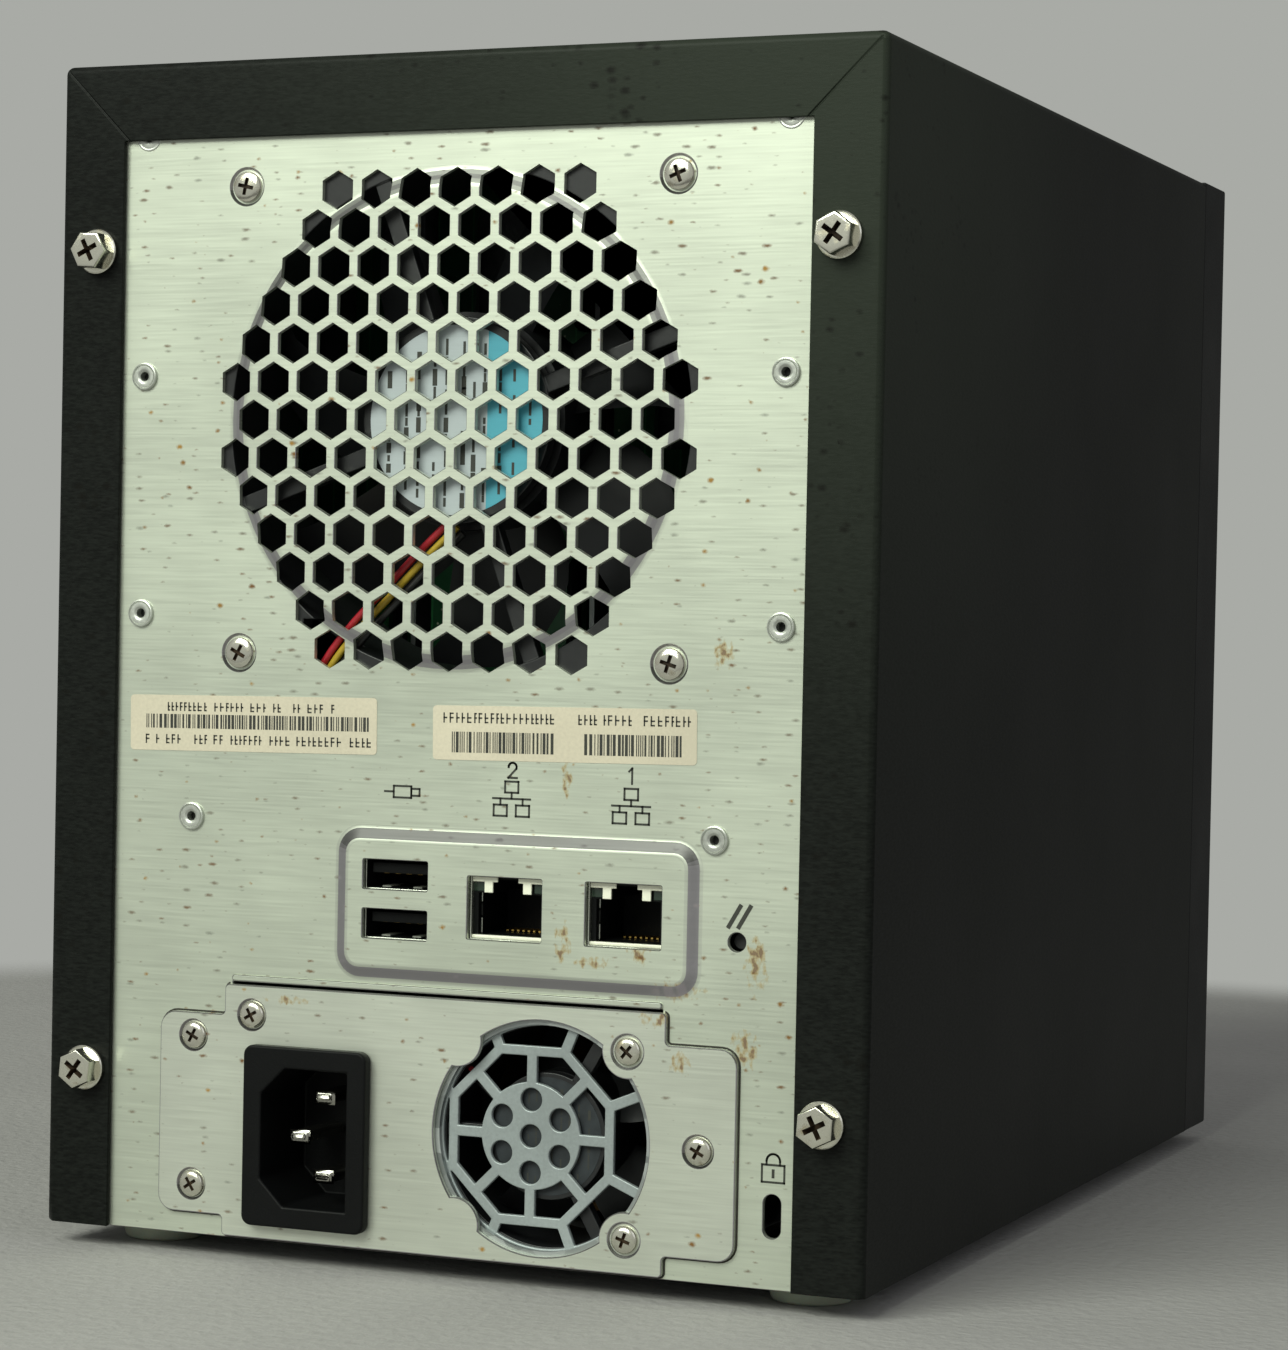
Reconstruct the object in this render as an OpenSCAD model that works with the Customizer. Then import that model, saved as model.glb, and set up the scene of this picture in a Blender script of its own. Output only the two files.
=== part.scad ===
// Four-bay network attached storage box: a folded steel chassis under a black wrap-round cover,
// with front-loading drive trays, a rear fan, a horizontal main board and a small power supply.
// The origin is under the middle of the box, on the surface it stands on. +Z is up, -Y is the
// front with the trays, +Y is the rear with the sockets, and +X is on the right from the front.

/* [Body] */
// Height of the cover, without the feet
body_h = 209; // [205:1:260]
// Depth from the bezel's front to the cover's rear face
body_d = 238; // [236:1:300]
// Distance between neighbouring drive bays
bay_pitch = 37.5; // [37.5:0.5:46]
// Thickness of every steel sheet
sheet_t = 1; // [0.8:0.1:1.3]
// Height of the rubber feet
foot_h = 4; // [2:0.5:8]
// Diameter of the rubber feet
foot_d = 16; // [12:1:22]
// Width of the cover's rear flange
flange_w = 12.8; // [10:0.2:15]
// Depth of the front bezel
bezel_d = 22; // [21:0.5:26]
// Thickness of the bezel's walls
bezel_t = 2.5; // [2:0.1:3.5]

/* [Rear fan] */
// Side of the rear fan's square frame
fan_size = 92; // [80:1:112]
// Depth of the rear fan's frame
fan_depth = 25; // [20:1:30]
// Distance of the fan's screw holes from its frame's edges
fan_hole_inset = 4.75; // [3.75:0.25:7]
// Number of fan blades
fan_blades = 7; // [5:1:9]
// Distance between neighbouring grille holes
hex_pitch = 7.73; // [7:0.01:8.4]
// Width of a grille hole across its flats
hex_flat = 6; // [4:0.1:6.4]

/* [Power supply] */
// Width of the power supply's case
psu_w = 81.5; // [81:0.5:84]
// Height of the power supply's case
psu_h = 42.5; // [42.5:0.5:51]
// Length of the power supply's case
psu_l = 150; // [120:1:180]
// Side of the power supply's fan
psu_fan_size = 40; // [36:1:40]

/* [Drives and trays] */
// Width of a 3.5 inch drive
drive_w = 101.6; // [100:0.1:103]
// Length of a 3.5 inch drive
drive_l = 147; // [140:1:150]
// Thickness of a 3.5 inch drive
drive_t = 26.1; // [20:0.1:26.5]
// Thickness of a tray's rails
rail_t = 4.7; // [4:0.1:6]

/* [Hidden] */

$fn = 48;
eps = 0.01;
bay_count = 4;

// Clearances
slide_gap = 0.4;        // between the cover and the chassis
face_gap = 0.3;         // between parts that pass close to each other
screw_gap = 0.15;       // round a screw's shank
pivot_gap = 0.05;       // round a pin or shaft that turns

// Overall places
side_wall = 3.5;                                     // bezel beside the outer bays
body_w = bay_count * bay_pitch + 2 * side_wall;
screw_proud = 4;                                     // cover screw heads stand out this far
y_rear = (body_d - screw_proud) / 2;                 // cover's rear face
y_front = y_rear - body_d;                           // bezel's front face
y_panel = y_rear - sheet_t - face_gap;               // rear panel's outer face
y_inside = y_panel - sheet_t;                        // rear panel's inner face
y_bezel = y_front + bezel_d;                         // bezel's back, on the front frame
z_low = foot_h;                                      // underside of the chassis
z_top = foot_h + body_h;
half_in = body_w / 2 - sheet_t - slide_gap;          // chassis half width
z_floor = z_low + sheet_t;                           // top of the base pan

// Drive cage
guide_t = 1.2;
guide_lip = 3.2;
tray_h = drive_w + 2 * rail_t;
cage_h = tray_h + 2 * (guide_t + face_gap + sheet_t);
cage_top_gap = 7;
z_cage = z_top - cage_top_gap - cage_h;              // underside of the cage
z_bay = z_cage + cage_h / 2;                         // middle of the bays
y_cage = y_bezel + sheet_t;                          // front edge of the cage
tray_front_d = 15.5;
tray_recess = 1.5;                                   // tray fronts sit this far behind the bezel's face
y_tray = y_front + tray_recess;
y_drive = y_tray + tray_front_d + 4;
y_backplane = y_drive + drive_l + 7;
pcb_t = 1.6;
bay_x = [for (i = [0 : bay_count - 1]) (i - (bay_count - 1) / 2) * bay_pitch];

// Rear fan
fan_hole = fan_size / 2 - fan_hole_inset;
fan_bore = fan_size - 4;
flange_clear = 1.5;                                  // between the dish and the cover's rear flange
fan_z = min(z_bay + 1.3, z_top - flange_w - flange_clear - fan_bore / 2);
hub_d = 38;
dish_d = fan_bore;
dish_rise = 1;
hex_rows = [7, 8, 9, 10, 11, 12, 11, 12, 11, 10, 9, 8, 7];

// Power supply
psu_z = z_floor;                                     // underside of the case
plate_w = psu_w + 3.2;
plate_h = psu_h + 2.3;
plate_z = z_low + 0.4;
tab_w = 13;                                          // the plate's side ears
tab_h = psu_h - 6.7;
tab_z = plate_z + 3.6;
psu_fan_x = -19.4;
psu_fan_z = psu_z + psu_h / 2;
psu_fan_bore = psu_fan_size - 2;
psu_fan_d = 20;
psu_fan_hole = psu_fan_size / 2 - 4;
guard_t = 1;
guard_x = psu_fan_x + 2.6;                           // the pressed guard is not centred on the fan
plate_gap = 0.5;                                     // slot above the plate
slot_lip = 1.2;                                      // height of the rolled lip above that slot
y_plate = y_panel + sheet_t;                         // plate's outer face

// Mains inlet
inlet_x = 25.1;
inlet_z = psu_z + psu_h / 2 - 3.2;
inlet_flange = [24.1, 31.9];
inlet_body = [20.6, 28];
inlet_cavity = [16.8, 24.3];
inlet_flange_t = 2.4;
inlet_depth = 25;
cavity_depth = 16.5;
pin_pitch = 14;
earth_step = 4;

// Board shelf, main board and sockets
z_shelf = psu_z + psu_h + 3.4;
standoff_h = 5;
z_board = z_shelf + sheet_t + standoff_h;
z_board_top = z_board + pcb_t;
board_half = half_in - 5;
board_l = 142;
y_board = y_inside - 1.7 - board_l;
io_rise = 1;
io_size = [69.4, 27.3];
io_x = -13.5;
io_z = z_board_top + 6.5;
y_io = y_panel + io_rise;
jack_w = 15.9;
jack_h = 13.4;
jack_d = 16;
jack_x = [-11.9, -34.1];
jack_hole = [14.1, 10.9];
jack_set_back = 1.4;
usb_x = 9.1;
usb_hole = [12.6, 5.2];
usb_low = 3;                                         // lower USB opening's middle above the board
usb_pitch = 8.6;
usb_shell_w = 13.2;
reset_x = -54.5;
reset_z = z_board_top + 3.3;
reset_hole_d = 3.2;
reset_travel = 0.5;
lock_x = 16.8 - body_w / 2;
lock_z = z_low + 12.3;
lock_size = [3.2, 7.4];

// Fasteners
rivet_x = body_w / 2 - 17.2;
rivet_r = 1.6;
rivet_head_r = 2.5;
rivet_head_t = 0.9;
flat_head_t = 0.2;                                   // the two rivets that the flange half covers
low_rivet_x = 50.2;
low_rivet_z = z_board_top + 20.2;
side_rivet_z = [z_top - 13.1, fan_z + 7.8, fan_z - 34.6];
cover_screw_x = body_w / 2 - 7.8;
cover_screw_z = [z_low + 28.5, z_top - 33.5];
cover_screw_r = 1.75;
small_screw_r = 1.5;
small_head_r = 3.2;
fan_head_r = 2.75;
fan_dimple_r = 3.5;
plate_head_r = 2.4;
plate_dimple_r = 2.95;
dimple_depth = 0.5;

// Front controls
button_x = 52;
button_z = z_low + 44;
button_r = 7;
button_travel = 1.6;
front_usb_x = -50;
front_usb_z = z_low + 34;
led_x = [for (i = [0 : 4]) -58 + 8 * i];
led_z = z_low + 58;
led_r = 1.5;
y_front_board = y_bezel - 5;                         // back of the front board

// ---- helpers ----

// A flat shape in X and Z, made solid from y0 to y1
module along_y(y0, y1) translate([0, y1, 0]) rotate([90, 0, 0]) linear_extrude(y1 - y0) children();

// A flat shape in Y and Z, made solid from x0 to x1
module along_x(x0, x1) translate([x0, 0, 0]) rotate([90, 0, 90]) linear_extrude(x1 - x0) children();

// A block from its low corner to its high corner
module block(low, high) translate(low) cube(high - low);

// A cylinder along Y
module rod_y(x, y0, y1, z, r) translate([x, y1, z]) rotate([90, 0, 0]) cylinder(h = y1 - y0, r = r);

// A rectangle with rounded corners, about its middle
module round_rect(size, r) {
    square([size[0] - 2 * r, size[1]], center = true);
    square([size[0], size[1] - 2 * r], center = true);
    for (sx = [-1, 1], sz = [-1, 1])
        translate([sx * (size[0] / 2 - r), sz * (size[1] / 2 - r)]) circle(r);
}

// A raised field with sloping sides and rounded corners: base size, corner radius, height and slope
module raised_field(size, r, rise, slope) {
    long = size[0] / 2 - r;
    tall = size[1] / 2 - r;
    along_x(-long, long)
        polygon([[0, -tall - r], [rise, slope - tall - r], [rise, tall + r - slope], [0, tall + r]]);
    translate([0, 0, -tall]) linear_extrude(2 * tall)
        polygon([[-long - r, 0], [slope - long - r, rise], [long + r - slope, rise], [long + r, 0]]);
    for (sx = [-1, 1], sz = [-1, 1])
        translate([sx * long, 0, sz * tall]) rotate([-90, 0, 0])
            cylinder(h = rise, r1 = r, r2 = r - slope);
}

// A cross-head screw whose head rests on y = 0 and stands towards +Y
module cross_screw(head_r, head_h, shank_r, length) {
    difference() {
        union() {
            rod_y(0, 0, head_h, 0, head_r);
            rod_y(0, -length, 0, 0, shank_r);
        }
        cross_recess(head_h, head_r * 0.62, head_h * 0.7);
    }
}

// The recess of a cross-head screw, sunk from a face at y = top
module cross_recess(top, reach, depth) {
    slot = reach * 0.36;
    translate([0, top - depth, 0]) {
        translate([-reach, 0, -slot / 2]) cube([2 * reach, depth + 1, slot]);
        translate([-slot / 2, 0, -reach]) cube([slot, depth + 1, 2 * reach]);
    }
}

function unit(v) = v / norm(v);

// Ring of points round a route's point i, for a wire of radius r
function ring(route, i, r, sides) =
    let (ahead = route[min(i + 1, len(route) - 1)], behind = route[max(i - 1, 0)],
         t = unit(ahead - behind), a = unit(cross(t, [0.31, 0.87, 0.38])), b = cross(t, a))
    [for (k = [0 : sides - 1]) route[i] + r * (cos(360 * k / sides) * a + sin(360 * k / sides) * b)];

// A wire of radius r along a route
module wire(route, r, sides = 8) {
    n = len(route);
    points = [for (i = [0 : n - 1]) each ring(route, i, r, sides)];
    walls = [for (i = [0 : n - 2], k = [0 : sides - 1])
        [i * sides + k, (i + 1) * sides + k, (i + 1) * sides + (k + 1) % sides, i * sides + (k + 1) % sides]];
    near_end = [for (k = [0 : sides - 1]) k];
    far_end = [for (k = [0 : sides - 1]) n * sides - 1 - k];
    polyhedron(points, concat(walls, [near_end, far_end]));
}

// ---- cover ----

module cover_outline(inset) {
    w = body_w / 2 - inset;
    polygon([[-w, z_low], [-w, z_top - inset], [w, z_top - inset], [w, z_low]]);
}

module top_cover() color([0.12, 0.13, 0.13]) difference() {
    along_y(y_bezel, y_rear) cover_outline(0);
    along_y(y_bezel - 1, y_rear - sheet_t) translate([0, -1]) cover_outline(sheet_t);
    along_y(y_bezel - 1, y_rear + 1) translate([0, -1]) cover_outline(flange_w);
    along_y(y_bezel - 1, y_rear - sheet_t) translate([-body_w / 2 + sheet_t, z_low - 1])
        square([body_w - 2 * sheet_t, 5]);
    for (sx = [-1, 1], z = cover_screw_z)
        rod_y(sx * cover_screw_x, y_rear - 2 * sheet_t, y_rear + 1, z, cover_screw_r + screw_gap);
}

module hex_washer_screw() {
    washer_r = 4;
    washer_t = 1;
    difference() {
        union() {
            rod_y(0, 0, washer_t, 0, washer_r);
            translate([0, screw_proud, 0]) rotate([90, 0, 0]) cylinder(h = screw_proud - washer_t / 2, r = 3.6, $fn = 6);
            rod_y(0, -7, washer_t, 0, cover_screw_r);
        }
        cross_recess(screw_proud, 2.3, 2.2);
    }
}

module cover_screws() color([0.78, 0.74, 0.62])
    for (sx = [-1, 1], z = cover_screw_z)
        translate([sx * cover_screw_x, y_rear, z]) hex_washer_screw();

// ---- chassis sheets ----

module base_pan() color([0.72, 0.74, 0.72]) {
    lip = 10;
    difference() {
        union() {
            block([-half_in, y_bezel + sheet_t, z_low], [half_in, y_inside, z_floor]);
            for (sx = [-1, 1])
                block([sx > 0 ? half_in - 2 * sheet_t : -half_in + sheet_t, y_bezel + sheet_t, z_floor - eps],
                      [sx > 0 ? half_in - sheet_t : -half_in + 2 * sheet_t, y_inside - sheet_t - face_gap, z_floor + lip]);
        }
        for (i = [-3 : 3], sy = [-1, 1])
            translate([i * 14, sy * 62, z_low - 1]) linear_extrude(sheet_t + 2) round_rect([4, 26], 1.9);
    }
}

module side_plate(side) {
    low = z_floor;
    high = z_top - sheet_t - slide_gap - 2;
    flange = 21;
    color([0.72, 0.74, 0.72]) mirror([side < 0 ? 1 : 0, 0, 0]) difference() {
        union() {
            block([half_in - sheet_t, y_bezel + sheet_t, low], [half_in, y_inside, high]);
            block([half_in - flange, y_inside - sheet_t, low], [half_in, y_inside, high]);
        }
        for (i = [0 : 4], k = [0 : 2])
            translate([half_in - 3, y_drive + 20 + 26 * i, z_cage + 30 + 28 * k])
                rotate([0, 90, 0]) cylinder(h = 4, r = 8);
        for (z = side_rivet_z) rod_y(rivet_x, y_inside - 2, y_inside + 1, z, rivet_r + screw_gap);
        for (z = cover_screw_z)
            rod_y(cover_screw_x, y_inside - 2, y_inside + 1, z, cover_screw_r + 2 * screw_gap);
        block([-lock_x - 4, y_inside - 3, lock_z - 7], [-lock_x + 4, y_inside + 1, lock_z + 7]);
        block([half_in - flange - 1, y_inside - 3, low - 1], [half_in - flange + 5, y_inside + 1, z_board_top + 26]);
    }
}

module side_plate_left() side_plate(-1);
module side_plate_right() side_plate(1);

module grille_holes(y0, y1) {
    step_z = hex_pitch * sin(60);
    middle = (len(hex_rows) - 1) / 2;
    for (row = [0 : len(hex_rows) - 1], i = [0 : hex_rows[row] - 1])
        translate([(i - (hex_rows[row] - 1) / 2) * hex_pitch, y1, fan_z + (middle - row) * step_z])
            rotate([90, 30, 0]) cylinder(h = y1 - y0, d = hex_flat / cos(30), $fn = 6);
}

module rear_panel() color([0.80, 0.84, 0.78]) {
    panel_top = z_top - sheet_t - slide_gap - 1;
    dish_slope = 3.6;
    io_slope = 2.8;
    difference() {
        union() {
            along_y(y_inside, y_panel) difference() {
                translate([-half_in, z_low]) square([2 * half_in, panel_top - z_low]);
                translate([-plate_w / 2 + 1, psu_z - face_gap])
                    square([plate_w - 2, plate_z + plate_h + plate_gap - psu_z + face_gap]);
            }
            translate([0, y_panel - eps, fan_z]) rotate([-90, 0, 0])
                cylinder(h = dish_rise + eps, d1 = dish_d, d2 = dish_d - 2 * dish_slope);
            translate([io_x, y_panel - eps, io_z]) raised_field(io_size, 5, io_rise + eps, io_slope);
            translate([0, y_panel - eps, plate_z + plate_h + plate_gap + slot_lip / 2])
                raised_field([plate_w - 2, slot_lip], 0.55, 0.5, 0.35);
        }
        translate([0, y_inside - eps, fan_z]) rotate([-90, 0, 0])
            cylinder(h = dish_rise + eps, d1 = dish_d - 0.6, d2 = dish_d - 2 * dish_slope);
        translate([io_x, y_inside - eps, io_z])
            raised_field([io_size[0] - 0.6, io_size[1] - 0.6], 4.7, io_rise + eps, io_slope - 0.2);
        grille_holes(y_inside - 1, y_panel + dish_rise + 1);
        // sockets
        for (k = [0, 1])
            along_y(y_inside - 1, y_io + 1)
                translate([usb_x, z_board_top + usb_low + k * usb_pitch]) square(usb_hole, center = true);
        for (x = jack_x)
            along_y(y_inside - 1, y_io + 1) translate([x, z_board_top + jack_h / 2]) square(jack_hole, center = true);
        rod_y(reset_x, y_inside - 1, y_panel + 1, reset_z, reset_hole_d / 2);
        along_y(y_inside - 1, y_panel + 1) translate([lock_x, lock_z]) {
            square([lock_size[0], lock_size[1] - lock_size[0]], center = true);
            for (s = [-1, 1]) translate([0, s * (lock_size[1] - lock_size[0]) / 2]) circle(lock_size[0] / 2);
        }
        // fasteners
        for (sx = [-1, 1], z = side_rivet_z) rod_y(sx * rivet_x, y_inside - 1, y_panel + 1, z, rivet_r + screw_gap);
        for (sx = [-1, 1]) rod_y(sx * low_rivet_x, y_inside - 1, y_panel + 1, low_rivet_z, rivet_r + screw_gap);
        for (sx = [-1, 1], z = cover_screw_z)
            rod_y(sx * cover_screw_x, y_inside - 1, y_panel + 1, z, cover_screw_r + 2 * screw_gap);
        for (sx = [-1, 1], sz = [-1, 1]) {
            rod_y(sx * fan_hole, y_inside - 1, y_panel + 1, fan_z + sz * fan_hole, 2.1 + screw_gap);
            rod_y(sx * fan_hole, y_panel - dimple_depth, y_panel + 1, fan_z + sz * fan_hole, fan_dimple_r);
        }
        for (p = plate_screws()) rod_y(p[0], y_inside - 1, y_panel + 1, p[1], small_screw_r + screw_gap);
    }
}

module rivet(grip, head_t) difference() {
    union() {
        rod_y(0, 0, head_t * 0.55, 0, rivet_head_r);
        translate([0, head_t * 0.55, 0]) rotate([-90, 0, 0])
            cylinder(h = head_t * 0.45, r1 = rivet_head_r, r2 = rivet_head_r - 0.7);
        rod_y(0, -grip - 2.5, 0, 0, rivet_r);
    }
    rod_y(0, -grip - 3, 2, 0, 0.9);
}

module rear_rivets() color([0.82, 0.84, 0.82]) {
    for (sx = [-1, 1], i = [0 : 2])
        translate([sx * rivet_x, y_panel, side_rivet_z[i]]) rivet(2 * sheet_t, i == 0 ? flat_head_t : rivet_head_t);
    for (sx = [-1, 1]) translate([sx * low_rivet_x, y_panel, low_rivet_z]) rivet(sheet_t, rivet_head_t);
}

module feet() color([0.70, 0.74, 0.66])
    for (sx = [-1, 1], y = [y_rear - 17, y_bezel + 17])
        translate([sx * (body_w / 2 - 15), y, 0]) cylinder(h = foot_h, r1 = foot_d / 2 - 1, r2 = foot_d / 2);

module front_frame() color([0.72, 0.74, 0.72])
    along_y(y_bezel, y_cage) difference() {
        translate([-half_in, z_low]) square([2 * half_in, body_h - sheet_t - slide_gap - 1]);
        for (x = bay_x)
            translate([x - bay_pitch / 2 + sheet_t / 2, z_cage + sheet_t])
                square([bay_pitch - sheet_t, cage_h - 2 * sheet_t]);
        for (k = [0 : 3]) translate([0, z_floor + 14 + 14 * k]) round_rect([60, 6], 2.9);
        translate([front_usb_x, front_usb_z]) square([22, 14], center = true);
        translate([button_x, button_z]) circle(6);
    }

// ---- bezel ----

// The bezel's outline, drawn in from its outside by inset and carried past its back by extra
module bezel_shape(inset, extra) {
    edge_r = 5;
    w = body_w / 2 - inset;
    low = z_low + inset;
    high = z_top - inset;
    front = y_front + inset;
    back = y_bezel + extra;
    intersection() {
        translate([0, 0, low]) linear_extrude(high - low) {
            translate([-w, front + edge_r]) square([2 * w, back - front - edge_r]);
            translate([-w + edge_r, front]) square([2 * (w - edge_r), edge_r + 1]);
            for (sx = [-1, 1]) translate([sx * (w - edge_r), front + edge_r]) circle(edge_r);
        }
        along_x(-w, w) {
            translate([front + edge_r, low]) square([back - front - edge_r, high - low]);
            translate([front, low + edge_r]) square([edge_r + 1, high - low - 2 * edge_r]);
            for (z = [low + edge_r, high - edge_r]) translate([front + edge_r, z]) circle(edge_r);
        }
    }
}

module front_bezel() color([0.10, 0.10, 0.11]) difference() {
    window = [bay_count * bay_pitch, cage_h - 2 * sheet_t];
    bezel_shape(0, 0);
    difference() {
        bezel_shape(bezel_t, 1);
        block([-body_w, y_front, z_bay - window[1] / 2 - bezel_t], [body_w, y_bezel + 2, z_bay + window[1] / 2 + bezel_t]);
    }
    along_y(y_front - 1, y_bezel + 1) translate([0, z_bay]) square(window, center = true);
    // air slots
    for (k = [0 : 5]) along_y(y_front - 1, y_front + bezel_t + 1)
        translate([0, z_low + 14 + 8 * k]) round_rect([64, 3.4], 1.6);
    rod_y(button_x, y_front - 1, y_front + bezel_t + 1, button_z, button_r + face_gap);
    along_y(y_front - 1, y_front + bezel_t + 1)
        translate([front_usb_x, front_usb_z]) square(usb_hole, center = true);
    for (x = led_x) rod_y(x, y_front - 1, y_front + bezel_t + 1, led_z, led_r + pivot_gap);
}

// ---- drive cage, guides and backplane ----

module drive_cage() color([0.72, 0.74, 0.72]) {
    half = bay_count * bay_pitch / 2 + sheet_t;
    difference() {
        along_y(y_cage, y_backplane) difference() {
            translate([-half, z_cage]) square([2 * half, cage_h]);
            for (x = bay_x)
                translate([x - bay_pitch / 2 + sheet_t / 2, z_cage + sheet_t])
                    square([bay_pitch - sheet_t, cage_h - 2 * sheet_t]);
        }
        // windows through the walls, and one slot above and below each bay
        for (i = [0, 1])
            along_x(-half - 1, half + 1) translate([y_cage + 42 + 68 * i, z_bay]) round_rect([56, cage_h - 36], 4);
        for (x = bay_x)
            translate([x, (y_cage + y_backplane) / 2, z_cage - 1]) linear_extrude(cage_h + 2) round_rect([14, 112], 3);
    }
}

module guide() {
    inner = drive_t + 0.6;
    along_y(y_cage + 3, y_backplane - 4) {
        translate([-inner / 2 - guide_t, 0]) square([inner + 2 * guide_t, guide_t]);
        for (sx = [-1, 1]) translate([sx * (inner + guide_t) / 2 - guide_t / 2, 0]) square([guide_t, guide_lip]);
    }
}

module cage_guides() color([0.16, 0.16, 0.17]) for (x = bay_x) {
    translate([x, 0, z_cage + sheet_t]) guide();
    translate([x, 0, z_cage + cage_h - sheet_t]) mirror([0, 0, 1]) guide();
}

module backplane() color([0.10, 0.35, 0.18]) {
    size = [bay_count * bay_pitch - 1, cage_h - 2];
    along_y(y_backplane, y_backplane + pcb_t) difference() {
        translate([0, z_bay]) square(size, center = true);
        for (i = [0 : bay_count - 2])
            for (k = [-1 : 1]) translate([(i - 1) * bay_pitch, z_bay + 34 * k]) round_rect([9, 26], 3);
        for (x = bay_x) translate([x, z_bay + 22]) round_rect([12, 46], 3);
    }
}

module backplane_connectors() color([0.08, 0.08, 0.09]) for (x = bay_x)
    translate([x, 0, z_bay - drive_w / 2 + 10]) difference() {
        block([-3.2, y_drive + drive_l + 0.4, 0], [3.2, y_backplane, 42]);
        block([-1.2, y_drive + drive_l, 3], [1.6, y_drive + drive_l + 4, 39]);
    }

// ---- trays ----

hinge_z = z_bay + tray_h / 2 - 9;
hinge_y = y_tray + 4;
hinge_r = 1.5;
pocket_w = bay_pitch - 14;
lever_t = 6;
lever_l = tray_h - 30;

module vent_hexes(columns, rows, pitch, flat, y0, y1) {
    for (c = [0 : columns - 1], r = [0 : rows - 1])
        translate([(c - (columns - 1) / 2) * pitch + (r % 2 == 0 ? 0 : pitch / 2), y1,
                   (r - (rows - 1) / 2) * pitch * sin(60)])
            rotate([90, 30, 0]) cylinder(h = y1 - y0, d = flat / cos(30), $fn = 6);
}

module tray_frame() color([0.14, 0.14, 0.15]) {
    front = [bay_pitch - 2 * face_gap, tray_h + 1];
    pocket_h = lever_l + 14;
    rail_w = drive_t - 1;
    pocket_z = hinge_z + 5 - pocket_h;
    difference() {
        union() {
            along_y(y_tray, y_tray + tray_front_d) translate([0, z_bay]) round_rect(front, 1.5);
            for (sz = [-1, 1])
                block([-rail_w / 2, y_tray + tray_front_d - eps, z_bay + (sz > 0 ? drive_w / 2 : -drive_w / 2 - rail_t)],
                      [rail_w / 2, y_drive + drive_l - 3, z_bay + (sz > 0 ? drive_w / 2 + rail_t : -drive_w / 2)]);
        }
        block([-pocket_w / 2, y_tray - 1, pocket_z], [pocket_w / 2, y_tray + 8.5, pocket_z + pocket_h]);
        block([-bay_pitch / 2 + 4, y_tray + 10.5, z_bay - drive_w / 2 + 6],
              [bay_pitch / 2 - 4, y_tray + tray_front_d + 1, z_bay + drive_w / 2 - 6]);
        translate([-bay_pitch, hinge_y, hinge_z]) rotate([0, 90, 0])
            cylinder(h = 2 * bay_pitch, r = hinge_r + pivot_gap);
        translate([0, 0, z_bay - 4]) vent_hexes(3, 13, 6, 4.6, y_tray, y_tray + tray_front_d + 1);
        for (y = [y_drive + 28.5, y_drive + 130], sz = [-1, 1])
            translate([0, y, z_bay + sz * (drive_w / 2 + rail_t / 2)]) {
                cylinder(h = rail_t + 1, r = small_screw_r + screw_gap, center = true);
                translate([0, 0, sz * (rail_t / 2 - 0.9)]) cylinder(h = 2.2, r = small_head_r + face_gap, center = true);
            }
    }
}

module tray_lever() color([0.20, 0.20, 0.21]) {
    w = pocket_w - 2 * face_gap;
    low = hinge_z - lever_l;
    difference() {
        union() {
            block([-w / 2, y_tray, low], [w / 2, y_tray + lever_t, hinge_z]);
            translate([-w / 2, hinge_y, hinge_z]) rotate([0, 90, 0]) cylinder(h = w, r = 3);
            translate([-w / 2 - 4, hinge_y, hinge_z]) rotate([0, 90, 0]) cylinder(h = w + 8, r = hinge_r);
            // catch that hooks behind the tray front's lower lip
            block([-4, y_tray + lever_t - eps, low], [4, y_tray + lever_t + 1.5, low + 5]);
        }
        block([-w, y_tray - 1, hinge_z], [w, y_tray + 1, hinge_z + 4]);
        translate([0, 0, z_bay - 4]) vent_hexes(3, 9, 6, 4.6, y_tray - 1, y_tray + lever_t + 3);
        block([-w / 2 + 3, y_tray + 2, low + 12], [w / 2 - 3, y_tray + lever_t + 1, hinge_z - 8]);
    }
}

module tray_screws() color([0.75, 0.75, 0.75])
    for (y = [y_drive + 28.5, y_drive + 130], sz = [-1, 1])
        translate([0, y, z_bay + sz * (drive_w / 2 + rail_t - 2)])
            rotate([sz > 0 ? 90 : -90, 0, 0]) cross_screw(small_head_r, 1.6, small_screw_r, rail_t - 2 + 3);

// A sealed 3.5 inch drive: cast base with its chamber, steel lid and controller board
module drive() {
    wall = 3.5;
    lid_t = 1.2;
    board_t = 1.2;
    x0 = -drive_t / 2;
    z0 = z_bay - drive_w / 2;
    disc_y = y_drive + 53;
    color([0.62, 0.63, 0.65]) difference() {
        block([x0 + board_t + 0.6, y_drive, z0], [x0 + drive_t - lid_t - pivot_gap, y_drive + drive_l, z0 + drive_w]);
        translate([x0 + 6, disc_y, z_bay]) rotate([0, 90, 0]) cylinder(h = drive_t, r = drive_w / 2 - wall);
        block([x0 + 6, disc_y + 28, z0 + wall], [x0 + drive_t, y_drive + drive_l - 14, z0 + drive_w - 30]);
        for (y = [y_drive + 28.5, y_drive + 130], z = [z0, z0 + drive_w])
            translate([0, y, z]) cylinder(h = 9, r = small_screw_r + screw_gap, center = true);
    }
    color([0.75, 0.76, 0.78]) difference() {
        block([x0 + drive_t - lid_t, y_drive + 2, z0 + 1.5], [x0 + drive_t, y_drive + drive_l - 8, z0 + drive_w - 1.5]);
        for (y = [y_drive + 7, y_drive + drive_l - 13], z = [z0 + 7, z0 + drive_w - 7])
            translate([x0 + drive_t - 0.6, y, z]) rotate([0, 90, 0]) cylinder(h = 2, r = 2.2);
    }
    color([0.10, 0.30, 0.16])
        block([x0, y_drive + 40, z0 + 3], [x0 + board_t, y_drive + drive_l - 3, z0 + drive_w - 3]);
}

// ---- main board ----

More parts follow.
